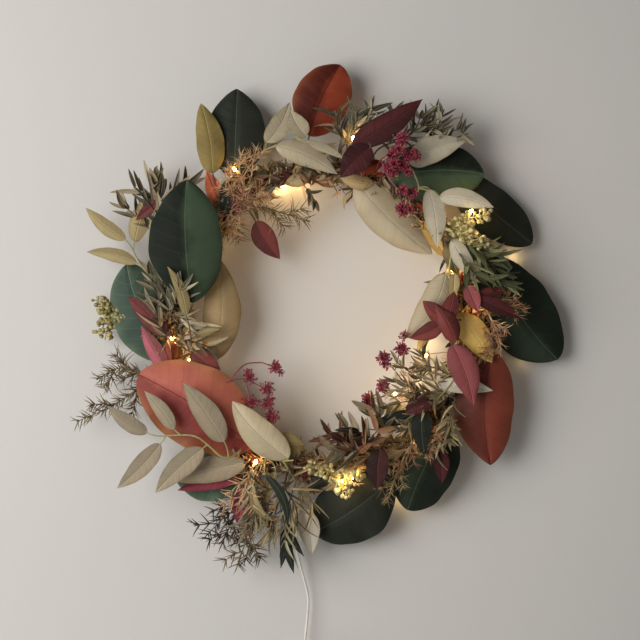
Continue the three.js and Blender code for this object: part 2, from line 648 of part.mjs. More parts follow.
const SPRIGS = [
  ["sprig_lower_middle", CREAM, [
    [244, [-52, -136, 50], [-36, -139, 54], [-26, -138, 58]],
    [[-36, -139, 54], [-24, -162, 40], [-18, -184, 36]],
  ], [
    { joint: [-18, -184, 36], foot: [-17, -188, 36], tip: [-8, -233, 34], width: 22, bow: -2, arch: 2, shape: SLIM },
    { joint: [-36, -139, 54], foot: [-31, -136, 56], tip: [-86, -80, 62], width: 32, bow: -4, arch: 5, cup: -4, shape: LONG },
    { joint: [-52, -136, 50], foot: [-46, -129, 48], tip: [-15, -124, 44], width: 26, bow: -3, arch: 3, shape: LONG },
  ]],
  ["eucalyptus_top_left", CREAM, [[103, [-54, 168, 42], [-44, 172, 50], [-22, 180, 52]]], [
    { joint: [-54, 168, 42], foot: [-53, 176, 44], tip: [-30, 216, 42], width: 21, bow: 3, arch: 2, shape: SLIM },
    { joint: [-22, 180, 52], foot: [-14, 182, 52], tip: [-29, 207, 50], width: 20, bow: -2, arch: 3, shape: SLIM },
    { joint: [-44, 172, 50], foot: [-43, 172, 54], tip: [17, 144, 54], width: 23, bow: -4, arch: 3, cup: -2, shape: SLIM },
    { joint: [-22, 180, 52], foot: [-16, 176, 55], tip: [25, 158, 58], width: 9, bow: -2, shape: SLIM },
  ]],
  ["eucalyptus_top_right", CREAM, [[55, [98, 131, 46], [92, 148, 50]], [[98, 131, 46], [114, 126, 52]]], [
    { joint: [92, 148, 50], foot: [88, 156, 50], tip: [144, 177, 46], width: 27, bow: -4, arch: 3, cup: -2, shape: SLIM },
    { joint: [98, 131, 46], foot: [108, 129, 52], tip: [116, 72, 48], width: 22, bow: -2, arch: 3, shape: SLIM },
    { joint: [114, 126, 52], foot: [118, 122, 54], tip: [171, 111, 56], width: 19, bow: -3, arch: 2, shape: SLIM },
  ]],
  ["eucalyptus_right", TAN, [[24, [132, 74, 44], [128, 46, 50], [132, 14, 50]], [[132, 14, 50], [138, -50, 50]]], [
    { joint: [132, 74, 44], foot: [131, 80, 50], tip: [156, 38, 56], width: 18, bow: 2, arch: 3, shape: SLIM },
    { joint: [128, 46, 50], foot: [124, 45, 50], tip: [86, -18, 42], width: 32, bow: -7, arch: 5, cup: -4, shape: LONG },
    { joint: [128, 46, 50], foot: [133, 46, 54], tip: [131, 20, 54], width: 11, arch: 1, shape: SLIM },
    { joint: [132, 14, 50], foot: [136, 6, 50], tip: [170, -42, 48], width: 28, bow: -2, arch: 3, shape: LONG },
    { joint: [138, -50, 50], foot: [118, -64, 50], tip: [171, -70, 48], width: 16, bow: -2, arch: 1, shape: SLIM },
  ]],
  ["eucalyptus_left", KHAKI, [[160, [-166, 44, 34], [-178, 54, 36], [-186, 68, 36]]], [
    { joint: [-186, 68, 36], foot: [-194, 80, 36], tip: [-234, 112, 30], width: 15, bow: -2, arch: 3, shape: SLIM },
    { joint: [-178, 54, 36], foot: [-183, 57, 36], tip: [-233, 68, 30], width: 14, bow: 3, arch: 3, shape: SLIM },
    { joint: [-186, 68, 36], foot: [-185, 78, 36], tip: [-167, 128, 32], width: 20, bow: -2, arch: 3, shape: SLIM },
  ]],
  ["eucalyptus_lower_left", SAGE, [[236, [-78, -128, 52], [-88, -135, 60], [-97, -134, 64], [-108, -124, 66],
    [-122, -114, 66], [-141, -113, 64], [-156, -114, 62]]], [
    { joint: [-136, -113, 65], foot: [-143, -107, 66], tip: [-172, -70, 64], width: 15, bow: 2, arch: 3, shape: SLIM },
    { joint: [-90, -135, 61], foot: [-94, -119, 66], tip: [-134, -62, 68], width: 25, bow: 2, arch: 4, shape: SLIM },
    { joint: [-156, -114, 62], foot: [-170, -111, 60], tip: [-209, -85, 54], width: 16, bow: -2, arch: 3, shape: SLIM },
    { joint: [-152, -114, 62], foot: [-157, -122, 60], tip: [-200, -166, 54], width: 20, bow: -2, arch: 3, shape: SLIM },
    { joint: [-110, -122, 66], foot: [-115, -126, 62], tip: [-162, -170, 58], width: 23, bow: 2, arch: 3, shape: SLIM },
  ]],
  ["burgundy_leaves_top", BURGUNDY, [[78, [38, 164, 52], [48, 174, 58]]], [
    { joint: [48, 174, 58], foot: [50, 170, 60], tip: [20, 140, 62], width: 27, bow: 2, arch: 2, shape: POINTED },
    { joint: [38, 164, 52], foot: [32, 172, 58], tip: [101, 218, 52], width: 26, bow: 3, arch: 3, shape: POINTED },
  ]],
  ["burgundy_leaf_inner_left", BURGUNDY, [[118, [-70, 108, 36], [-66, 102, 38]]], [
    { joint: [-66, 102, 38], foot: [-64, 98, 38], tip: [-40, 61, 34], width: 23, bow: 2, arch: 2, shape: POINTED },
  ]],
  ["burgundy_leaves_left", BURGUNDY, [[186, [-150, -12, 44], [-140, -24, 46], [-128, -32, 46]]], [
    { joint: [-150, -12, 44], foot: [-153, -14, 45], tip: [-191, 23, 38], width: 22, bow: 2, arch: 2, shape: POINTED },
    { joint: [-150, -12, 44], foot: [-152, -52, 40], tip: [-178, -6, 38], width: 17, arch: 2, shape: POINTED },
    { joint: [-128, -32, 46], foot: [-127, -32, 46], tip: [-98, -62, 46], width: 23, bow: -2, arch: 2, shape: POINTED },
  ]],
  ["burgundy_leaves_right_star", BURGUNDY, [[-2, [136, 0, 56], [124, -4, 62], [128, -22, 64]]], [
    { joint: [124, -4, 62], foot: [122, -2, 62], tip: [88, -18, 58], width: 17, bow: -2, arch: 2, shape: POINTED },
    { joint: [124, -4, 62], foot: [124, -2, 64], tip: [101, 19, 60], width: 17, arch: 2, shape: POINTED },
    { joint: [124, -4, 62], foot: [125, 0, 64], tip: [132, 28, 62], width: 17, arch: 2, shape: POINTED },
    { joint: [128, -22, 64], foot: [130, -24, 64], tip: [151, -84, 58], width: 28, bow: -3, arch: 3, cup: -3, shape: POINTED },
  ]],
  ["burgundy_leaves_right_high", BURGUNDY, [[9, [146, 30, 56], [150, 24, 58]]], [
    { joint: [146, 30, 56], foot: [145, 34, 58], tip: [156, 8, 60], width: 16, arch: 1, shape: POINTED },
    { joint: [150, 24, 58], foot: [154, 22, 58], tip: [200, 2, 52], width: 15, arch: 2, shape: POINTED },
    { joint: [150, 24, 58], foot: [156, 26, 57], tip: [188, 30, 50], width: 10, arch: 1, shape: POINTED },
  ]],
  ["burgundy_leaves_bottom", BURGUNDY, [[-70, [50, -124, 50], [56, -122, 58]]], [
    { joint: [56, -122, 58], foot: [59, -126, 58], tip: [56, -168, 54], width: 22, bow: 1, arch: 2, shape: POINTED },
    { joint: [50, -124, 50], foot: [48, -118, 50], tip: [12, -128, 46], width: 22, bow: -2, arch: 2, shape: POINTED },
  ]],
  ["burgundy_leaves_lower_right", BURGUNDY, [[-44, [116, -98, 44], [118, -122, 46]], [[116, -98, 44], [110, -82, 56]]], [
    { joint: [118, -122, 46], foot: [120, -128, 46], tip: [121, -162, 42], width: 16, arch: 2, shape: POINTED },
    { joint: [110, -82, 56], foot: [108, -80, 56], tip: [84, -92, 54], width: 20, bow: 2, arch: 2, shape: POINTED },
  ]],
  ["burgundy_leaves_bottom_left", CRIMSON, [[241, [-76, -152, 40], [-76, -162, 46]]], [
    { joint: [-76, -152, 40], foot: [-82, -157, 38], tip: [-142, -170, 34], width: 18, bow: 2, arch: 1, shape: POINTED },
    { joint: [-76, -162, 46], foot: [-76, -166, 46], tip: [-80, -206, 42], width: 16, bow: 1, arch: 2, shape: POINTED },
  ]],
];

const NARROW_SPRIGS = [
  ["narrow_sprig_upper_left", NARROW_GREEN, [
    [163, [-152, 66, 42], [-158, 108, 44], [-162, 146, 40]],
    [[-157, 100, 44], [-172, 122, 40], [-186, 132, 36]],
    [[-157, 100, 44], [-140, 128, 40], [-128, 140, 42]],
  ], { whorls: 3, length: 25, width: 6, lean: 34, first: 0.5, seed: 3 }],
  ["narrow_sprig_left", NARROW_OLIVE, [
    [184, [-148, 6, 50], [-152, 24, 52], [-158, 44, 50]],
    [[-148, 6, 50], [-138, 26, 66], [-134, 36, 74]],
    [[-148, 6, 50], [-128, -2, 52], [-118, -8, 48]],
  ], { whorls: 3, length: 22, width: 5, lean: 40, first: 0.4, seed: 8 }],
  ["narrow_sprig_top", NARROW_GREEN, [
    [80, [26, 178, 38], [16, 196, 40], [14, 208, 40]],
    [[26, 178, 38], [44, 198, 42], [56, 212, 42]],
    [[26, 178, 38], [70, 178, 40], [98, 190, 40], [122, 202, 38]],
    [[98, 190, 40], [128, 188, 38], [146, 192, 36]],
  ], { whorls: 3, length: 24, width: 5.5, lean: 46, first: 0.5, seed: 5 }],
  ["narrow_sprig_right", NARROW_OLIVE, [
    [29, [140, 62, 60], [156, 42, 64], [180, 38, 60]],
  ], { whorls: 4, length: 22, width: 5, lean: 40, first: 0.45, seed: 12 }],
  ["narrow_sprig_lower_right", NARROW_OLIVE, [
    [-28, [134, -78, 48], [128, -100, 54], [128, -122, 56]],
    [[134, -78, 48], [104, -62, 52], [84, -48, 54], [74, -40, 52]],
    [[118, -69, 50], [108, -50, 50], [100, -32, 50]],
  ], { whorls: 4, length: 20, width: 4, lean: 38, first: 0.4, seed: 21 }],
  ["narrow_sprig_bottom_right", NARROW_BROWN, [
    [-74, [36, -134, 55], [22, -118, 60], [6, -112, 58]],
    [[36, -134, 55], [52, -114, 61], [62, -102, 60]],
  ], { whorls: 3, length: 26, width: 7.5, lean: 42, first: 0.5, seed: 15 }],
  ["narrow_bunch_bottom", NARROW_OLIVE, [
    [258, [-36, -166, 46], [-44, -190, 48], [-50, -214, 44]],
    [[-36, -166, 46], [-24, -184, 50], [-22, -208, 48]],
    [[-36, -166, 46], [-58, -170, 54], [-64, -190, 56]],
    [[-36, -166, 46], [-14, -170, 52], [-4, -188, 54]],
    [[-36, -166, 46], [-22, -150, 42], [-2, -146, 42]],
  ], { whorls: 3, length: 34, width: 5, lean: 30, first: 0.45, seed: 27 }],
];

const NEEDLE_TWIGS = [
  ["needle_twig_left", TWIG_BROWN, [
    [205, [-166, -56, 34], [-200, -48, 32], [-224, -60, 28]],
    [[-166, -56, 34], [-204, -84, 34], [-244, -102, 28]],
  ], { whorls: 4, shoots: 3, shootLength: 26, length: 13, first: 0.4, seed: 2 }],
  ["needle_twig_upper_left", TWIG_BEIGE, [
    [121, [-68, 142, 46], [-66, 158, 50], [-62, 172, 50]],
    [[-68, 142, 46], [-84, 136, 52], [-92, 124, 52]],
  ], { whorls: 3, shoots: 2, shootLength: 20, length: 10, first: 0.5, seed: 4 }],
  ["needle_twig_inner_left", TWIG_BEIGE, [
    [126, [-84, 106, 42], [-60, 112, 42], [-36, 106, 38], [-10, 98, 34]],
    [[-84, 106, 42], [-88, 94, 42], [-84, 86, 40]],
  ], { whorls: 4, shoots: 3, shootLength: 25, length: 13, first: 0.4, seed: 6 }],
  ["needle_twigs_bottom", TWIG_DARK, [
    [246, [-76, -176, 34], [-90, -206, 32], [-100, -228, 28]],
    [[-76, -176, 34], [-68, -206, 40], [-76, -246, 34]],
  ], { whorls: 6, shoots: 5, shootLength: 26, length: 12, first: 0.4, seed: 9 }],
  ["needle_twig_right", TWIG_BEIGE, [
    [3, [164, 12, 48], [184, 18, 46], [198, 22, 42]],
    [[164, 12, 48], [176, -14, 50], [180, -34, 48]],
  ], { whorls: 3, shoots: 2, shootLength: 20, length: 10, first: 0.5, seed: 14 }],
  ["needle_twig_lower_right", TWIG_BEIGE, [
    [-47, [84, -134, 46], [74, -158, 46], [66, -182, 42]],
    [[84, -134, 46], [96, -112, 48], [100, -90, 48]],
  ], { whorls: 3, shoots: 2, shootLength: 19, length: 10, first: 0.5, seed: 17 }],
];

const HEAD = { radius: 1.2, whorls: 2, length: 9, lean: 66, flat: 1, sections: [], shoots: 0 };

const SEED_HEADS = [
  ["seed_heads_top", CRIMSON, [
    [68, [60, 158, 52], [78, 166, 64], [84, 160, 66]],
    [[60, 158, 52], [66, 142, 62], [78, 126, 66]],
  ], [
    { joint: [78, 166, 64], at: [80, 176, 68] }, { joint: [84, 160, 66], at: [90, 162, 68] },
    { joint: [78, 166, 64], at: [70, 161, 70] }, { joint: [84, 160, 66], at: [81, 151, 70] },
    { joint: [66, 142, 62], at: [68, 148, 68] }, { joint: [78, 126, 66], at: [90, 124, 68] },
    { joint: [78, 126, 66], at: [80, 109, 66] },
  ], HEAD],
  ["seed_heads_left", CRIMSON, [
    [212, [-100, -70, 46], [-90, -60, 50], [-74, -58, 50]],
    [[-90, -60, 50], [-74, -44, 48], [-58, -42, 46]],
  ], [
    { joint: [-58, -42, 46], at: [-44, -47, 44] }, { joint: [-74, -58, 50], at: [-69, -57, 52] },
    { joint: [-74, -58, 50], at: [-54, -68, 50] }, { joint: [-74, -58, 50], at: [-68, -82, 52] },
    { joint: [-54, -68, 50], at: [-50, -80, 50] }, { joint: [-50, -80, 50], at: [-49, -94, 48] },
  ], HEAD],
  ["seed_heads_right", CRIMSON, [
    [-36, [98, -72, 46], [82, -60, 48], [74, -50, 48]],
    [[98, -72, 46], [72, -76, 48], [60, -70, 48]],
  ], [
    { joint: [74, -50, 48], at: [62, -36, 46] }, { joint: [74, -50, 48], at: [80, -28, 46] },
    { joint: [60, -70, 48], at: [47, -80, 46] }, { joint: [60, -70, 48], at: [62, -64, 50] },
  ], HEAD],
];

const BERRY_BUNCHES = [
  ["berries_left", BERRY, [
    [197, [-190, 2, 20], [-214, 12, 20], [-224, 22, 20]],
    [[-190, 2, 20], [-214, -2, 20], [-223, -14, 20]],
  ], { whorls: 2, length: 12, radius: 3.1, first: 0.5, seed: 11 }],
  ["berries_right", BERRY, [
    [37, [132, 92, 50], [148, 100, 56], [168, 104, 56]],
    [[132, 92, 50], [142, 84, 56], [162, 74, 54]],
  ], { whorls: 3, length: 13, radius: 3.1, first: 0.3, seed: 13 }],
  ["berries_bottom", BERRY, [
    [-84, [12, -150, 52], [-4, -146, 56], [-12, -142, 56]],
    [[12, -150, 52], [28, -156, 58], [40, -150, 58]],
    [[12, -150, 52], [20, -166, 56], [28, -172, 54]],
  ], { whorls: 2, length: 12, radius: 3.1, first: 0.4, seed: 16 }],
];

const plans = [
  ...Array.from({ length: STRANDS }, (_, number) => vineStrand(number)),
  lightString(),
  ...SPRIGS.map((row) => leafySprig(...row)),
  ...BIG_LEAVES.map((row) => singleLeaf(...row)),
  ...BERRY_BUNCHES.map((row) => berryBunch(...row)),
  ...SEED_HEADS.map((row) => seedHeads(...row)),
  ...NARROW_SPRIGS.map((row) => narrowSprig(...row)),
  ...NEEDLE_TWIGS.map((row) => needleTwig(...row)),
  { name: "lead_splice", colour: LEAD, build: leadSplice },
  { name: "lead_tube", colour: LEAD, build: (swell) => tube(LEAD_PATH, swell) },
  { name: "lead_coil", colour: LEAD, build: leadCoil },
  { name: "lead_tail", colour: LEAD, build: (swell) => tube(TAIL_PATH, swell) },
  { name: "usb_plug", colour: LEAD, build: usbPlug },
  { name: "coil_tie", colour: LEAD, build: coilTie },
];

// Stems keep their way and blades make room for them; later pieces make room for earlier ones
const pieces = plans.map((plan) => ({
  plan,
  frame: frameOf(plan, 0),
  frameRoom: roomOf(plan),
  flesh: fleshOf(plan, 0),
  fleshRoom: fleshOf(plan, GAP),
}));

const group = new THREE.Group();
pieces.forEach((piece, k) => {
  const earlier = pieces.slice(0, k);
  const others = pieces.filter((other) => other !== piece);
  const bare = earlier.reduce((rest, other) => clearOf(rest, other.frameRoom), piece.frame);
  const cut = others.reduce((rest, other) => clearOf(rest, other.frameRoom), piece.flesh);
  const stalkRoom = piece.plan.ways && piece.frameRoom;
  const grown = earlier.reduce((rest, other) => clearOf(rest, clearOf(other.fleshRoom, stalkRoom)), cut);
  const body = join([bare, grown].filter(Boolean));
  const { name, colour, roughness = 0.6, metalness = 0 } = piece.plan;
  const { vertProperties, triVerts } = largest(body).getMesh();
  const geometry = new THREE.BufferGeometry();
  geometry.setAttribute("position", new THREE.BufferAttribute(vertProperties, 3));
  geometry.setIndex(new THREE.BufferAttribute(triVerts, 1));
  const mesh = new THREE.Mesh(geometry, new THREE.MeshStandardMaterial({ color: colour, roughness, metalness }));
  mesh.name = name;
  group.add(mesh);
});

export default group;
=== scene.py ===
import bpy
import numpy as np
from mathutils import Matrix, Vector


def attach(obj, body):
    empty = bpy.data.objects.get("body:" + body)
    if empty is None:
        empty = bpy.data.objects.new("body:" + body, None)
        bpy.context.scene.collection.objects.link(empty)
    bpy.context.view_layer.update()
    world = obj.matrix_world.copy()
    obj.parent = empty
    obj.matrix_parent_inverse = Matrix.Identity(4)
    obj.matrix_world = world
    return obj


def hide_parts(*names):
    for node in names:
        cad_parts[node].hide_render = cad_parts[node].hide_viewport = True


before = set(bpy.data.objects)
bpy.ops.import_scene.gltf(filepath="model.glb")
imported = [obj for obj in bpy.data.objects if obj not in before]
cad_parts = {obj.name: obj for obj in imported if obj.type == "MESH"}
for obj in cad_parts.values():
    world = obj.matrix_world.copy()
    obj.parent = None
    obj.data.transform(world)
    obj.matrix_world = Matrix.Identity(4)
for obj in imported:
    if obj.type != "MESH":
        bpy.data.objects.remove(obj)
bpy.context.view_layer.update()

# Lengths are millimetres until a mesh is made. Places are [right, up, out]: from the ring's
# centre, and out from the wall. The frame's origin is the hook, under the top of the ring.
ring = dict(radius=150, out=16, strandRadius=3.2, strandOffset=4.5)
ringOut = ring["out"]
ringCentreZ = -(ring["radius"] - ring["strandRadius"] - ring["strandOffset"])


def place(points):
    right, up, out = np.moveaxis(np.asarray(points, float), -1, 0)
    return np.stack([right, ringOut - out, ringCentreZ + up], -1)


def unit(vectors):
    return vectors / np.maximum(np.linalg.norm(vectors, axis=-1, keepdims=True), 1e-9)


def square(vector, along):
    # What is left of a direction at a right angle to another
    return unit(vector - along * (vector * along).sum(-1, keepdims=True))


def onRing(degrees, offset=0.0, out=ringOut):
    angle = np.radians(degrees)
    radius = ring["radius"] + np.asarray(offset, float)
    return np.stack(np.broadcast_arrays(radius * np.cos(angle), radius * np.sin(angle), out), -1)


class Way:
    # A smooth curve through points, read by the share of its length
    def __init__(self, points, dense=False):
        line = np.asarray(points, float) if dense else self.smooth(np.asarray(points, float))
        steps = np.linalg.norm(np.diff(line, axis=0), axis=1)
        self.shares = np.concatenate([[0], np.cumsum(steps)])
        self.length = self.shares[-1]
        self.shares /= self.length
        self.line = line

    @staticmethod
    def smooth(points, samples=40):
        # Each run between two points is a cubic whose ends follow the points on both sides
        whole = np.vstack([2 * points[0] - points[1], points, 2 * points[-1] - points[-2]])
        gaps = np.sqrt(np.linalg.norm(np.diff(whole, axis=0), axis=1))
        t = np.linspace(0, 1, samples, endpoint=False)[:, None]
        runs = []
        for i in range(len(points) - 1):
            a, b, c, d = whole[i:i + 4]
            x, y, z = gaps[i:i + 3]
            first = y * ((b - a) / x - (c - a) / (x + y) + (c - b) / y)
            last = y * ((c - b) / y - (d - b) / (y + z) + (d - c) / z)
            bend = 3 * (c - b) - 2 * first - last
            turn = 2 * (b - c) + first + last
            runs.append(b + first * t + bend * t**2 + turn * t**3)
        return np.vstack([*runs, points[-1:]])

    def at(self, share):
        return np.stack([np.interp(share, self.shares, self.line[:, k]) for k in range(3)], -1)

    def along(self, share, step=0.01):
        share = np.asarray(share, float)
        return unit(self.at(np.minimum(share + step, 1)) - self.at(np.maximum(share - step, 0)))

    def frame(self, share):
        along = self.along(share)
        side = unit(np.cross(np.array([0.0, 1.0, 0.0]), along))
        return self.at(share), along, side, np.cross(along, side)


def bezier(*points, samples=24):
    t = np.linspace(0, 1, samples)[:, None]
    line = [np.broadcast_to(point, (samples, 3)) for point in points]
    while len(line) > 1:
        line = [a * (1 - t) + b * t for a, b in zip(line, line[1:])]
    return Way(line[0], dense=True)


def addObject(name, data):
    made = bpy.data.objects.new(name, data)
    bpy.context.scene.collection.objects.link(made)
    return made


# Camera: level, straight in front of the ring's centre, far enough for 1 mm to a pixel
view = dict(lens=100, sensor=36, distance=1778, out=30)


def makeCamera():
    data = bpy.data.cameras.new("camera")
    data.lens = view["lens"]
    data.sensor_width = view["sensor"]
    camera = addObject("camera", data)
    camera.location = place([0, 0, view["out"] + view["distance"]]) / 1000
    camera.rotation_euler = (np.pi / 2, 0, 0)
    bpy.context.scene.camera = camera


makeCamera()
print("camera made")


# Materials
def linear(code):
    parts = np.array([int(code[i:i + 2], 16) for i in (1, 3, 5)]) / 255
    return (*np.where(parts < 0.04045, parts / 12.92, ((parts + 0.055) / 1.055) ** 2.4), 1.0)


class Term:
    # A shader value that takes + - * / ** and a few functions
    def __init__(self, graph, socket):
        self.graph = graph
        self.socket = socket

    def make(self, operation, *inputs):
        node = self.graph.node("Math", dict(operation=operation), dict(enumerate(inputs)))
        return Term(self.graph, node.outputs[0])

    def __add__(self, other):
        return self.make("ADD", self, other)

    def __radd__(self, other):
        return self.make("ADD", other, self)

    def __sub__(self, other):
        return self.make("SUBTRACT", self, other)

    def __rsub__(self, other):
        return self.make("SUBTRACT", other, self)

    def __mul__(self, other):
        return self.make("MULTIPLY", self, other)

    def __rmul__(self, other):
        return self.make("MULTIPLY", other, self)

    def __truediv__(self, other):
        return self.make("DIVIDE", self, other)

    def __rtruediv__(self, other):
        return self.make("DIVIDE", other, self)

    def __pow__(self, other):
        return self.make("POWER", self, other)

    def __abs__(self):
        return self.make("ABSOLUTE", self)

    def fraction(self):
        return self.make("FRACT", self)

    def clamp(self):
        return self.make("MINIMUM", self.make("MAXIMUM", self, 0.0), 1.0)


class Graph:
    def __init__(self, name):
        self.material = bpy.data.materials.new(name)
        self.material.use_nodes = True
        self.tree = self.material.node_tree
        self.tree.nodes.clear()

    def node(self, kind, settings=None, inputs=None):
        node = self.tree.nodes.new("ShaderNode" + kind)
        for key, value in (settings or {}).items():
            setattr(node, key, value)
        for key, value in (inputs or {}).items():
            if isinstance(value, Term):
                self.tree.links.new(value.socket, node.inputs[key])
            else:
                node.inputs[key].default_value = value
        return node

    def out(self, node, output=0):
        return Term(self, node.outputs[output])

    def attribute(self, name, output="Fac"):
        return self.out(self.node("Attribute", dict(attribute_name=name)), output)

    def spot(self):
        # A leaf's own place: share along it, share across it from -1 to 1, and 1 on its back
        parts = self.node("SeparateXYZ", {}, dict(Vector=self.attribute("place", "Vector")))
        return [self.out(parts, k) for k in range(3)]

    def noise(self, scale, detail):
        spot = self.out(self.node("TexCoord"), "Object")
        return self.out(self.node("TexNoise", {}, dict(Vector=spot, Scale=scale, Detail=detail)), 0)

    def mix(self, share, a, b, blend="MIX"):
        made = self.node("Mix", dict(data_type="RGBA", blend_type=blend), {0: share, 6: a, 7: b})
        return self.out(made, 2)

    def grey(self, value):
        return self.out(self.node("CombineColor", {}, dict(Red=value, Green=value, Blue=value)))

    def finish(self, colour, roughness, height=None, depth=0.0003, **others):
        inputs = {"Base Color": colour, "Roughness": roughness, **others}
        if height is not None:
            bump = self.node("Bump", {}, dict(Strength=1.0, Distance=depth, Height=height))
            inputs["Normal"] = self.out(bump)
        shader = self.node("BsdfPrincipled", {}, inputs)
        self.node("OutputMaterial", {}, dict(Surface=self.out(shader)))
        return self.material


# Printed cloth: pairs of veins that slant forward from the rib, clouds and grain. Reach is half
# a leaf's width at a spot in millimetres, and tone sets a leaf apart from its neighbours.
veins = dict(pairs=9, slant=1.1, shift=3, width=0.09, sway=0.5)
cloth = dict(
    cloud=38.0, grain=420.0, patches=1.4, ribWidth=0.7, ribColour=0.8, edgeColour=0.75,
    backColour=0.75, worn=0.5, dark=0.45, byTone=0.64, byCloud=0.46, byGrain=0.12, depth=0.0005,
    grainHigh=0.2, cloudHigh=0.3, veinDeep=0.3, ridgeDeep=1.2,
)
clothLook = dict(rough=0.6, gloss=0.3, lines=0.14, relief=1.0, turn=2.5, drift=0.0)


def leafSkin(name, left, right, rib, edge, back, **look):
    look = dict(clothLook, **look)
    graph = Graph("leaf_" + name)
    u, v, behind = graph.spot()
    reach = graph.attribute("reach")
    tone = graph.attribute("tone")
    mid = abs(v)
    cloud = graph.noise(cloth["cloud"], 4.0)
    fine = graph.noise(cloth["grain"], 3.0)
    ribLine = (1.0 - mid * reach / cloth["ribWidth"]).clamp()
    phase = u * veins["pairs"] - mid * veins["slant"] + tone * veins["shift"]
    phase = (phase + (cloud - 0.5) * veins["sway"]).fraction()
    vein = (1.0 - abs(phase - 0.5) / veins["width"]).clamp() * (1.0 - mid * 0.5)
    ridge = (phase - 0.5) * (phase - 0.5)
    # The left and right colours split a leaf along its rib: partly its two-tone print, partly
    # painted shade that darkens the half turned away from the light
    share = v * look["turn"] + (tone - 0.5) * look["drift"] + cloud * cloth["patches"] - 0.2
    colour = graph.mix(share.clamp(), linear(left), linear(right))
    worn = (mid ** 5.0 * cloth["edgeColour"] + (cloud - 0.45) * cloth["worn"]).clamp()
    colour = graph.mix(worn, colour, linear(edge))
    colour = graph.mix((vein * look["lines"]).clamp(), colour, linear(rib))
    colour = graph.mix((ribLine * cloth["ribColour"]).clamp(), colour, linear(rib))
    colour = graph.mix((behind * cloth["backColour"]).clamp(), colour, linear(back))
    shade = cloth["dark"] + cloth["byTone"] * tone + cloth["byCloud"] * cloud
    shade = shade + cloth["byGrain"] * (fine - 0.5)
    colour = graph.mix(1.0, colour, graph.grey(shade), "MULTIPLY")
    height = fine * cloth["grainHigh"] + cloud * cloth["cloudHigh"]
    height = height - vein * cloth["veinDeep"] - ribLine - ridge * cloth["ridgeDeep"]
    depth = cloth["depth"] * look["relief"]
    gloss = {"Specular IOR Level": look["gloss"]}
    return graph.finish(colour, look["rough"], height, depth, **gloss)


# Stems, needles, berries, bark and plastic: two colours in patches, with a tone per piece
patches = dict(sharp=2.2, byTone=0.6, middle=0.2, dark=0.72, light=0.3, finer=6, fineHigh=0.4)


def plainSkin(name, first, second, scale=160.0, rough=0.6, depth=0.0002, tip=None, **others):
    graph = Graph(name)
    tone = graph.attribute("tone")
    cloud = graph.noise(scale, 4.0)
    fine = graph.noise(scale * patches["finer"], 2.0)
    share = (cloud - 0.5) * patches["sharp"] + tone * patches["byTone"] + patches["middle"]
    colour = graph.mix(share.clamp(), linear(first), linear(second))
    if tip:
        colour = graph.mix((graph.spot()[0] ** 4.0).clamp(), colour, linear(tip))
    shade = graph.grey(patches["dark"] + patches["light"] * tone + patches["light"] * cloud)
    colour = graph.mix(1.0, colour, shade, "MULTIPLY")
    return graph.finish(colour, rough, cloud + fine * patches["fineHigh"], depth, **others)


def lampSkin(name, cover, light, strength):
    graph = Graph(name)
    shining = {"Emission Color": linear(light), "Emission Strength": strength}
    return graph.finish(linear(cover), 0.3, **shining)


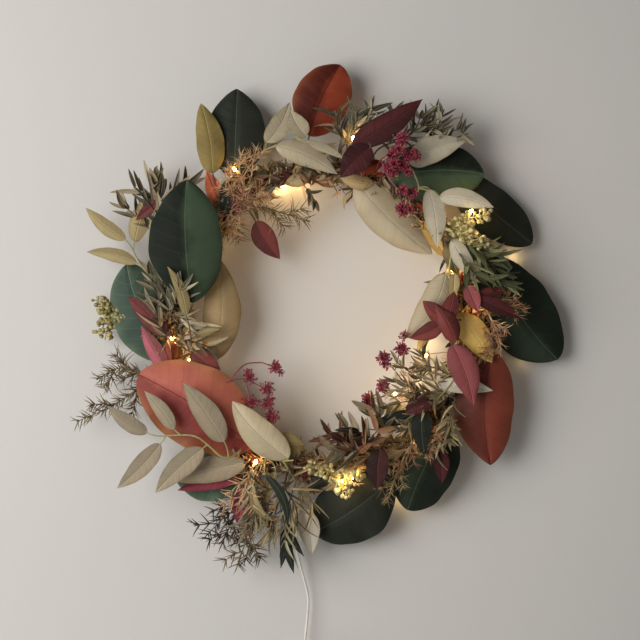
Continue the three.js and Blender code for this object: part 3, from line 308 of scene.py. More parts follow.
# A leaf's left and right colours are partly its print and partly painted shade of the half that
# turns away from the light
leafColours = dict(
    green=dict(
        left="#1c211b", right="#404f3d", rib="#566b50", edge="#252f24", back="#45523f", gloss=0.1,
        lines=0.08, relief=0.45,
    ),
    greyGreen=dict(
        left="#394a41", right="#3f4e40", rib="#7c8c74", edge="#5f7258", back="#5f6b55", relief=0.6,
        gloss=0.2,
    ),
    shadeGreen=dict(
        left="#1c211b", right="#2b342a", rib="#46563f", edge="#212a21", back="#3c4838", gloss=0.1,
        lines=0.08, relief=0.45,
    ),
    deepGreen=dict(
        left="#1f221b", right="#24271f", rib="#3e4a3e", edge="#1e251f", back="#3a4436", rough=0.55,
        gloss=0.2, lines=0.08, relief=0.45,
    ),
    rust=dict(
        left="#8c3630", right="#bc6454", rib="#6b241a", edge="#a0703c", back="#8a4f3c", relief=0.7,
    ),
    rustBrown=dict(
        left="#8c4030", right="#62281e", rib="#45190f", edge="#7a4426", back="#7a4632", relief=0.6,
    ),
    redBrown=dict(
        left="#4a170f", right="#8c3b26", rib="#3c140e", edge="#84482a", back="#70402e", relief=0.6,
        gloss=0.15,
    ),
    pinkOrange=dict(left="#cc6c4c", right="#a85438", rib="#86382a", edge="#b98050", back="#b4745a"),
    oliveYellow=dict(
        left="#7c6a38", right="#74653a", rib="#a89558", edge="#806e34", back="#8e7f50",
    ),
    cream=dict(left="#a0937a", right="#b2a58b", rib="#c4b89e", edge="#948562", back="#a6997e"),
    creamPale=dict(left="#a39b88", right="#b6ae9b", rib="#c8c0ae", edge="#978c72", back="#a9a08c"),
    white=dict(left="#e0d8c8", right="#ccc2b0", rib="#ebe6da", edge="#b8a88c", back="#cfc6b4"),
    # Leaves beside the lamps: their warm gold is partly their own colour and partly painted lamp
    # glow
    goldenLamplit=dict(left="#b08c4c", right="#cfae60", rib="#d2b878", edge="#a07c34", back="#b09864"),
    tan=dict(left="#b49a6e", right="#9c8460", rib="#c4ac80", edge="#7e6844", back="#a08c68"),
    sage=dict(left="#9c8d76", right="#8b7f6a", rib="#b8aa90", edge="#7c6f5a", back="#978b78"),
    olive=dict(left="#98885c", right="#7e6e46", rib="#b8a87c", edge="#766640", back="#948664"),
    khaki=dict(left="#a8966a", right="#8e7d54", rib="#c0b088", edge="#84744c", back="#9c8e6c"),
    burgundy=dict(
        left="#76322d", right="#582422", rib="#84403c", edge="#481c1c", back="#6c3836", drift=1.0,
    ),
    rose=dict(
        left="#965053", right="#7c3c3d", rib="#a85c5c", edge="#6a3230", back="#885454", drift=1.0,
    ),
    pinkRose=dict(left="#ac5c66", right="#723c38", rib="#b8707a", edge="#7c3c40", back="#8c585c"),
    wine=dict(
        left="#4c2122", right="#3c1a1b", rib="#603032", edge="#2e1313", back="#5a302e", drift=1.0,
        gloss=0.2,
    ),
    plum=dict(left="#4a2220", right="#321918", rib="#5c302c", edge="#2a1514", back="#4a2a28"),
    crimson=dict(left="#963a48", right="#702432", rib="#a04c58", edge="#621e2a", back="#82444c"),
)
narrowColours = dict(
    narrowGreen=dict(
        left="#2b2c1f", right="#988870", rib="#94886c", edge="#86785e", back="#6e6650",
    ),
    narrowFresh=dict(
        left="#2e341c", right="#747650", rib="#82845e", edge="#74764e", back="#5e6446",
    ),
    narrowOlive=dict(
        left="#3e3a20", right="#a08a60", rib="#a08e64", edge="#9c8862", back="#7e7048",
    ),
    narrowGrey=dict(left="#363a26", right="#a8a084", rib="#aaa488", edge="#9c967a", back="#8a8870"),
    narrowLight=dict(
        left="#504a2e", right="#b09c74", rib="#b4a880", edge="#b0a078", back="#928866",
    ),
    narrowBrown=dict(
        left="#542a20", right="#906a4a", rib="#a0805c", edge="#946c4c", back="#7e5c44",
    ),
)
narrowLook = dict(lines=0.0, turn=0.4, drift=2.4)
plainColours = dict(
    twigBrown=dict(first="#463826", second="#8e7a56"),
    twigBeige=dict(first="#a4744a", second="#e0be94"),
    twigPink=dict(first="#6e4632", second="#b48c64"),
    twigOlive=dict(first="#5e5232", second="#ae9c70"),
    twigMoss=dict(first="#4a3e24", second="#86784c"),
    twigDark=dict(first="#261c18", second="#5a4436"),
    greenStem=dict(first="#8f8a58", second="#a9a26e", rough=0.5),
    darkStem=dict(first="#4b3a2a", second="#6a5540"),
    redStem=dict(first="#6c2a34", second="#944a54", rough=0.5),
    berry=dict(
        first="#8c8246", second="#c6b97e", tip="#5c4a2c", scale=220.0, rough=0.42, depth=0.0001,
    ),
    # Berry colours made paler for the bunches beside the lamps: painted lamp light
    berryLamplit=dict(
        first="#a8995a", second="#e4d9a2", tip="#6c5834", scale=220.0, rough=0.42, depth=0.0001,
    ),
    seedHead=dict(first="#701e2e", second="#a84256", tip="#a24c5c", scale=300.0, rough=0.5),
    bark=dict(first="#2f2118", second="#6a4f36", scale=90.0, rough=0.85, depth=0.0008),
    copperWire=dict(first="#9c6a35", second="#c89252", rough=0.32, Metallic=0.8),
    leadCover=dict(first="#e6e2da", second="#f0ece4", scale=90.0, rough=0.4, depth=0.00005),
    plugCover=dict(first="#d8d4cb", second="#e4e1da", scale=60.0, rough=0.45, depth=0.00005),
    plugShell=dict(
        first="#a8a8a8", second="#bcbcbc", scale=60.0, rough=0.25, depth=0.00002, Metallic=1.0,
    ),
    plugInside=dict(first="#1c1c1e", second="#2a2a2c", scale=60.0, rough=0.5, depth=0.00002),
)
skins = {}
for key, colours in leafColours.items():
    skins[key] = leafSkin(key, **colours)
for key, colours in narrowColours.items():
    skins[key] = leafSkin(key, **narrowLook, **colours)
for key, colours in plainColours.items():
    skins[key] = plainSkin(key, **colours)
skins["lamp"] = lampSkin("lamp", cover="#ffd9a0", light="#ffc060", strength=28.0)
print("materials made")


# Meshes
def tubeFaces(rings, corners, closed):
    # Quads between rings that turn anticlockwise about the way along, and strips over both ends
    i, j = np.mgrid[0:rings if closed else rings - 1, 0:corners]
    k = (j + 1) % corners
    low, high = i * corners, (i + 1) % rings * corners
    sides = np.stack([low + j, low + k, high + k, high + j], -1).reshape(-1, 4)
    if closed:
        return sides
    e = np.arange(corners // 2 - 1)
    strip = np.stack([e, corners - 1 - e, corners - 2 - e, e + 1], -1)
    return np.vstack([sides, strip, (rings - 1) * corners + strip[:, ::-1]])


class Build:
    # Gathers tubes of rings as one mesh; rings have the shape (tubes, rings, corners, 3)
    def __init__(self):
        self.parts = []
        self.count = 0

    def add(self, rings, spot=(0, 0, 0), reach=1.0, tone=0.5, slot=0, closed=False):
        rings = np.asarray(rings, float)
        rings = rings[None] if rings.ndim == 3 else rings
        many, count, corners = rings.shape[:3]
        marks = np.empty((many, count, corners, 5))
        marks[..., :3] = spot
        marks[..., 3] = reach
        marks[..., 4] = np.reshape(tone, (-1, 1, 1))
        faces = tubeFaces(count, corners, closed)
        starts = self.count + np.arange(many) * count * corners
        faces = (faces + starts[:, None, None]).reshape(-1, 4)
        slots = np.full(len(faces), slot)
        self.parts.append((rings.reshape(-1, 3), marks.reshape(-1, 5), faces, slots))
        self.count += many * count * corners

    def finish(self, name, colours, slotName, *nodes, sharp=180):
        # Makes the piece; sharp is the angle in degrees past which an edge isn't smoothed
        points, marks, faces, slots = (np.concatenate(part) for part in zip(*self.parts))
        mesh = bpy.data.meshes.new(name)
        mesh.vertices.add(len(points))
        mesh.vertices.foreach_set("co", (points / 1000).ravel())
        mesh.loops.add(faces.size)
        mesh.loops.foreach_set("vertex_index", faces.ravel())
        mesh.polygons.add(len(faces))
        mesh.polygons.foreach_set("loop_start", np.arange(len(faces)) * 4)
        mesh.polygons.foreach_set("material_index", slots)
        mesh.update(calc_edges=True)
        mesh.validate()
        spots = mesh.attributes.new("place", "FLOAT_VECTOR", "POINT")
        spots.data.foreach_set("vector", marks[:, :3].ravel())
        for column, key in ((3, "reach"), (4, "tone")):
            values = mesh.attributes.new(key, "FLOAT", "POINT")
            values.data.foreach_set("value", marks[:, column])
        for colour in colours:
            mesh.materials.append(skins[colour])
        mesh.shade_smooth()
        mesh.set_sharp_from_angle(angle=np.radians(sharp))
        piece = addObject(name, mesh)
        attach(piece, "root")
        if nodes:
            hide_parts(*nodes)
        return piece


def around(line, along, level, radius, corners):
    # Rings of a round bar about a line: centre + radius * (across * cos + other * sin)
    across = square(level, along)
    other = np.cross(along, across)
    angle = (np.arange(corners) * 2 * np.pi / corners)[:, None]
    ringLine = across[..., None, :] * np.cos(angle) + other[..., None, :] * np.sin(angle)
    return line[..., None, :] + np.reshape(radius, (*line.shape[:-1], 1, 1)) * ringLine


def bar(way, radii, corners=8, rings=16):
    # A round bar along a way; its radii are read evenly along it
    share = np.linspace(0, 1, rings)
    line = way.at(share)
    along = unit(np.gradient(line, axis=0))
    level = np.linalg.svd(line - line.mean(0))[2][-1]
    radius = np.interp(share, np.linspace(0, 1, len(radii)), radii)
    return around(line, along, level, radius, corners)


def loopAlong(line):
    return unit(np.roll(line, -1, 0) - np.roll(line, 1, 0))


def turned(outline, centre, corners=32):
    # A solid turned about an upright axis: outline is [radius, height] from its foot to its top
    outline = np.asarray(outline, float)
    line = centre + outline[:, 1:] * np.array([0.0, 0.0, 1.0])
    along = np.broadcast_to([0.0, 0.0, 1.0], line.shape)
    radius = np.maximum(outline[:, 0], 0.01)
    return around(line, along, np.array([1.0, 0.0, 0.0]), radius, corners)


def squared(angle, power):
    # A circle drawn out towards a square: the power of its cosine and sine, with their signs
    x, y = np.cos(angle), np.sin(angle)
    return np.sign(x) * np.abs(x) ** power, np.sign(y) * np.abs(y) ** power


def softBox(size, centre, corner=1.5, corners=32, steps=10):
    # An upright block with rounded edges: a squared circle, drawn in by a quarter turn at each end
    x, y = squared(np.arange(corners) * 2 * np.pi / corners, 0.35)
    t = np.linspace(0, np.pi / 2, steps)
    inset = corner * np.concatenate([1 - np.sin(t), 1 - np.sin(t[::-1])])
    foot = -size[2] / 2 + corner * (1 - np.cos(t))
    head = size[2] / 2 - corner * (1 - np.cos(t[::-1]))
    height = np.concatenate([foot, head])
    rings = np.empty((len(height), corners, 3))
    rings[..., 0] = (size[0] / 2 - inset[:, None]) * x
    rings[..., 1] = (size[1] / 2 - inset[:, None]) * y
    rings[..., 2] = height[:, None]
    return centre + rings


# The lead: down from the splice, out of the view at the bottom, then wound up with its plug
lead = dict(
    radius=1.2, roundness=3,
    down=[
        [-21, -174.3, 14], [-21, -190, 14], [-23, -210, 13], [-24, -228, 12], [-18, -255, 11],
        [-12, -280, 10], [-13, -303, 10], [-15, -322, 10], [-15, -340, 10],
    ],
    tail=[
        [20.6, -340, 17.2], [20.4, -335, 18], [17.5, -331.4, 20.5], [12.5, -331.2, 22.9],
        [9.2, -334.5, 23.5], [9, -338, 23.5],
    ],
    downPoints=27, tailPoints=12, turnPoints=18, blend=0.03,
    coil=dict(right=2.8, up=-350, pitch=2.4, inner=8.2, layers=5, back=10.0, rows=4),
)


def leadRoute():
    # Down, then a coil of turns that go out and in again row by row, then up to the plug
    down = Way(place(lead["down"]))
    tail = Way(place(lead["tail"]))
    coil = lead["coil"]
    radii = []
    outs = []
    for row in range(coil["rows"]):
        layers = range(coil["layers"])
        for layer in layers if row % 2 else reversed(layers):
            radii.append(coil["inner"] + coil["pitch"] * layer)
            outs.append(coil["back"] + coil["pitch"] * row)
    turns = len(radii) - 0.5
    wound = np.arange(0, turns * lead["turnPoints"] + 1) / lead["turnPoints"]
    radius = np.interp(wound, np.arange(len(radii)), radii)
    out = np.interp(wound, np.arange(len(outs)), outs)
    angle = np.pi + 2 * np.pi * wound
    right = coil["right"] + radius * np.cos(angle)
    spiral = place(np.stack([right, coil["up"] + radius * np.sin(angle), out], -1))
    before = down.at(np.linspace(0, 1 - lead["blend"], lead["downPoints"]))
    after = tail.at(np.linspace(lead["blend"], 1, lead["tailPoints"]))
    return np.vstack([before, spiral, after])


splice = dict(
    right=-21, out=14, top=-156, bottom=-174, foot=[[1.5, 0], [1.8, 1], [2.5, 2.5], [3, 4]],
    head=[[3, -1], [2.7, -0.3], [2, 0]],
)


def makeSplice():
    low, high = splice["bottom"], splice["top"]
    outline = [
        [0, low],
        *([radius, low + up] for radius, up in splice["foot"]),
        *([radius, high + up] for radius, up in splice["head"]),
        [0, high],
    ]
    build = Build()
    build.add(turned(outline, place([splice["right"], 0, splice["out"]])))
    return build.finish("splice_body", ["leadCover"], "lead", "lead_splice")


plug = dict(
    right=9, top=-338.3, out=23.5, body=[16, 9, 28], shell=[12, 4.5, 12], shellCorner=0.4,
    tongue=[8, 1.6, 1], tongueCorner=0.3, sunk=0.5,
    relief=dict(length=8, radius=3.4, taper=1.3, ribs=5, groove=0.25, steps=25),
)


def makePlug():
    relief, body, shell, tongue = (plug[key] for key in ("relief", "body", "shell", "tongue"))
    at = place([plug["right"], 0, plug["out"]])
    bodyTop = plug["top"] - relief["length"]
    shellTop = bodyTop - body[2]
    low = bodyTop - plug["sunk"]
    share = np.linspace(0, 1, relief["steps"])
    groove = relief["groove"] * (np.sin(share * 2 * np.pi * relief["ribs"]) > 0.3)
    sleeve = relief["radius"] - relief["taper"] * share - groove
    outline = np.stack([sleeve, low + share * (relief["length"] + plug["sunk"])], -1)
    build = Build()
    build.add(turned(np.vstack([[0, low], outline, [0, plug["top"]]]), at))
    build.add(softBox(body, at + [0, 0, bodyTop - body[2] / 2]))
    middle = at + [0, 0, shellTop + (1 - shell[2]) / 2]
    build.add(softBox([*shell[:2], shell[2] + 1], middle, plug["shellCorner"]), slot=1)
    build.add(softBox(tongue, at + [0, 0, shellTop - shell[2]], plug["tongueCorner"]), slot=2)
    return build.finish("plug_body", ["plugCover", "plugShell", "plugInside"], "lead", "usb_plug")


tie = dict(degrees=-150, middle=13, out=13.6, width=4, thickness=1, inside=[12.9, 10.2], steps=48)


def makeTie():
    # A flat strip round one side of the coil, run along a squared circle
    turn = np.radians(tie["degrees"])
    outward = np.array([np.cos(turn), 0, np.sin(turn)])
    back = np.array([0, -1.0, 0])
    coil = lead["coil"]
    centre = place([coil["right"], coil["up"], tie["out"]]) + tie["middle"] * outward
    angle = np.linspace(0, 2 * np.pi, tie["steps"], endpoint=False)[:, None]
    wide, deep = (np.array(tie["inside"]) + tie["thickness"]) / 2
    x, y = squared(angle, 0.5)
    line = centre + wide * x * outward + deep * y * back
    out = unit(line - centre)[:, None]
    half = np.array([[-1, -1], [1, -1], [1, 1], [-1, 1]]) * [tie["thickness"] / 2, tie["width"] / 2]
    rings = line[:, None] + half[:, :1] * out + half[:, 1:] * np.cross(outward, back)
    build = Build()
    build.add(rings[:, ::-1], closed=True)
    return build.finish("tie_band", ["leadCover"], "lead", "coil_tie")


def makeLead():
    fittings = [makeSplice(), makePlug(), makeTie()]
    route = leadRoute() / 1000
    data = bpy.data.curves.new("lead", "CURVE")
    data.dimensions = "3D"
    data.bevel_depth = lead["radius"] / 1000
    data.bevel_resolution = lead["roundness"]
    data.use_fill_caps = True
    spline = data.splines.new("POLY")
    spline.points.add(len(route) - 1)
    spline.points.foreach_set("co", np.hstack([route, np.ones((len(route), 1))]).ravel())
    data.materials.append(skins["leadCover"])
    piece = addObject("lead", data)
    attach(piece, "root")
    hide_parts("lead_tube", "lead_coil", "lead_tail")


makeLead()


# Outlines of the blades: half width as share^rise * (1 - share)^fall
roundLeaf = dict(rise=0.6, fall=0.6)
ovalLeaf = dict(rise=0.7, fall=0.75)
longLeaf = dict(rise=0.55, fall=0.8)
slimLeaf = dict(rise=0.55, fall=0.9)
pointedLeaf = dict(rise=0.6, fall=0.95)

# Every piece draws from a seed of its own: its number in its table, added to the table's own
seeds = dict(
    bigLeaves=40, leafySprigs=80, narrowSprigs=120, needleTwigs=160, berryBunches=200,
    seedHeads=240, growth=280, smallLeaves=300,
)


# Broad leaves. Bow bends a blade sideways, arch lifts its middle and cup its edges. Roots and
# the first number of a stem are degrees round the ring from the right.
blade = dict(
    thickness=0.5, thinner=0.6, bigRows=64, bigColumns=18, rows=34, columns=10, sharp=50,
    fullRelief=30, ripple=1.0, quilt=0.12, crease=0.8, creaseWidth=1.6,
    uneven=[[0.02, 11], [0.012, 23]], ripples=[17, 31],
)
stalk = dict(
    big=[1.5, 1.2, 1.0, 0.7], stem=[1.2, 1.0, 0.8], leaf=[0.9, 0.7, 0.5], tone=0.4,
    lift=0.7, bigRun=0.35, leafRun=0.4, sunk=2,
)


def stemPath(stem):
    return [place(onRing(point) if np.isscalar(point) else point) for point in stem]


def bladeAxes(leaf):
    start = place(leaf["foot"])
    along = place(leaf["tip"]) - start
    length = np.linalg.norm(along)
    along = along / length
    face = square(np.array([0.0, -1.0, 0.0]), along)
    return start, along, length, face, np.cross(along, face)


def addBlade(build, leaf, rows, columns, random, slot=0):
    # s runs along and t across: half width (s^rise)(1 - s)^fall, arched by 4s(1 - s), cupped by
    # t^2, waved, rippled at the edge, creased at the midrib and quilted between the veins
    start, along, length, face, across = bladeAxes(leaf)
    bow, arch, cup, wave = (leaf.get(key, 0) for key in ("bow", "arch", "cup", "wave"))
    rise, fall = leaf["shape"]["rise"], leaf["shape"]["fall"]
    even = np.linspace(0, 1, rows + 1)[:, None]
    s = 0.6 * even + 0.4 * (0.5 - 0.5 * np.cos(np.pi * even))
    front = np.linspace(-1, 1, columns + 1)
    t = np.concatenate([front, np.linspace(1, -1, columns + 1)])[None]
    side = np.repeat([1.0, -1.0], columns + 1)[None]
    widest = rise / (rise + fall)
    half = leaf["width"] / 2
    outline = half * s**rise * (1 - s) ** fall / (widest**rise * (1 - widest) ** fall)
    phases = random.uniform(0, 2 * np.pi, 5)
    tone = leaf.get("tone", random.uniform(0.25, 0.75))
    (coarse, few), (fine, many) = blade["uneven"]
    uneven = 1 + coarse * np.sin(few * s + phases[0] + np.sign(t))
    uneven = uneven + fine * np.sin(many * s + phases[1] - t)
    reach = np.maximum(outline * uneven, 0.5)
    hump = 4 * s * (1 - s)
    edge = reach / half * t**2
    relief = half / blade["fullRelief"]
    ripple = relief * blade["ripple"]
    slow, quick = blade["ripples"]
    out = arch * hump + cup * edge + wave * edge * np.sin(9 * s + 2.2 * t)
    out += ripple * np.abs(t) ** 3 * np.sin(slow * s + 2 * np.sign(t) + phases[2])
    out += 0.5 * ripple * t**2 * np.sin(quick * s + phases[3] * np.sign(t))
    middle = np.exp(-(t * reach / blade["creaseWidth"]) ** 2)
    out -= relief * blade["crease"] * middle * np.minimum(1, 6 * hump)
    pair = veins["pairs"] * s - veins["slant"] * np.abs(t) + veins["shift"] * tone
    panel = (1 - np.abs(t)) * np.minimum(1, 5 * np.abs(t))
    out += relief * blade["quilt"] * np.cos(2 * np.pi * pair + np.pi) * panel
    out = out + side * blade["thickness"] / 2 * (1 - blade["thinner"] * t**2)
    rings = start + along * (length * s)[..., None] + across * (bow * hump + reach * t)[..., None]
    rings = rings + face * out[..., None]
    spot = np.stack(np.broadcast_arrays(s, t, side < 0), -1)
    build.add(rings, spot, reach, tone, slot)


def addStalk(build, way, radii, slot, corners=8, rings=14):
    build.add(bar(way, radii, corners, rings), tone=stalk["tone"], slot=slot)


# Single leaves, each on a wire stalk of its own
bigLeaves = dict(
    green_leaf_front_left=dict(
        colour="green", slot="leaf_green", root=174, tone=0.35, foot=[-125, 17, 60],
        tip=[-131, 138, 60], width=73, bow=-4, arch=8, cup=-6, wave=1.5, shape=ovalLeaf,
    ),
    green_leaf_behind_left=dict(
        colour="greyGreen", slot="leaf_grey_green", root=197, foot=[-152, -42, 30],
        tip=[-194, 56, 24], width=60, bow=-6, arch=4, cup=-5, shape=roundLeaf,
    ),
    green_leaf_top_left=dict(
        colour="deepGreen", slot="leaf_deep_green", root=124, tone=0.8, foot=[-86, 142, 32],
        tip=[-83, 232, 22], width=60, arch=5, cup=-6, wave=1, shape=ovalLeaf,
    ),
    green_leaf_top_right=dict(
        colour="green", slot="leaf_green", root=64, tone=0.85, foot=[62, 140, 34],
        tip=[164, 146, 30], width=60, bow=-6, arch=5, cup=-5, shape=roundLeaf,
    ),
    green_leaf_right_high=dict(
        colour="deepGreen", slot="leaf_deep_green", root=44, foot=[132, 144, 25], tip=[214, 77, 14],
        width=48, bow=1, arch=3, cup=-4, shape=roundLeaf,
    ),
    green_leaf_right=dict(
        colour="shadeGreen", slot="leaf_green", root=20, tone=0.95, foot=[167, 61, 30],
        tip=[239, -40, 18], width=73, bow=6, arch=6, cup=-8, shape=roundLeaf,
    ),
    green_leaf_lower_right=dict(
        colour="shadeGreen", slot="leaf_green", root=-41, tone=0.95, foot=[128, -106, 34],
        tip=[88, -191, 22], width=64, bow=4, arch=6, cup=-6, shape=roundLeaf,
    ),
    green_leaf_bottom=dict(
        colour="deepGreen", slot="leaf_deep_green", root=-67, tone=1.0, foot=[72, -158, 32],
        tip=[-8, -214, 20], width=68, bow=-4, arch=6, cup=-7, wave=2, shape=roundLeaf,
    ),
    green_leaf_bottom_left=dict(
        colour="greyGreen", slot="leaf_grey_green", root=243, foot=[-72, -152, 29],
        tip=[-148, -152, 22], width=64, bow=2, arch=3, cup=-4, shape=roundLeaf,
    ),
    rust_leaf_left=dict(
        colour="rust", slot="leaf_rust", root=226, foot=[-66, -124, 50], tip=[-180, -54, 46],
        width=82, bow=4, arch=10, cup=-8, wave=2.5, shape=roundLeaf,
    ),
    rust_leaf_top=dict(
        colour="redBrown", slot="leaf_red_brown", root=91, foot=[-11, 184, 33], tip=[20, 256, 26],
        width=56, bow=-3, arch=4, cup=-6, shape=roundLeaf,
    ),
    rust_leaf_right=dict(
        colour="rustBrown", slot="leaf_rust", root=-17, foot=[172, -30, 40], tip=[171, -145, 30],
        width=60, bow=8, arch=8, cup=-9, shape=ovalLeaf,
    ),
    pink_leaf_top_left=dict(
        colour="pinkOrange", slot="leaf_pink_orange", root=132, tone=0.9, foot=[-96, 108, 34],
        tip=[-113, 148, 36], width=18, arch=2, shape=longLeaf,
    ),
    olive_leaf_top_left=dict(
        colour="oliveYellow", slot="leaf_olive", root=130, foot=[-107, 146, 38],
        tip=[-119, 216, 34], width=28, bow=3, arch=3, cup=-3, wave=1, shape=longLeaf,
    ),
    # Tone 0.4 darkens this leaf: painted shade for the leaves that lie over it
    tan_leaf_left=dict(
        colour="tan", slot="leaf_tan", root=193, tone=0.4, foot=[-106, -40, 36], tip=[-103, 64, 40],
        width=38, bow=7, arch=5, cup=-5, shape=longLeaf,
    ),
    cream_leaf_top=dict(
        colour="cream", slot="leaf_cream", root=72, tone=0.6, foot=[36, 138, 38], tip=[112, 66, 32],
        width=42, bow=4, arch=4, cup=-5, shape=longLeaf,
    ),
    grey_leaf_bottom_left=dict(
        colour="sage", slot="leaf_sage", root=238, tone=0.8, foot=[-74, -142, 46],
        tip=[-146, -159, 42], width=27, bow=2, arch=3, cup=-3, shape=longLeaf,
    ),
)


def makeBigLeaf(name, leaf, random):
    start, along = bladeAxes(leaf)[:2]
    core = place(onRing(leaf["root"]))
    lifted = core + [0, -stalk["lift"] * (leaf["foot"][2] - ringOut), 0]
    before = start - stalk["bigRun"] * np.linalg.norm(core - start) * along
    way = bezier(core, lifted, before, start + stalk["sunk"] * along)
    build = Build()
    addStalk(build, way, stalk["big"], 1, rings=18)
    addBlade(build, leaf, blade["bigRows"], blade["bigColumns"], random)
    colours = [leaf["colour"], "darkStem"]
    build.finish(name + "_fine", colours, leaf["slot"], name, sharp=blade["sharp"])


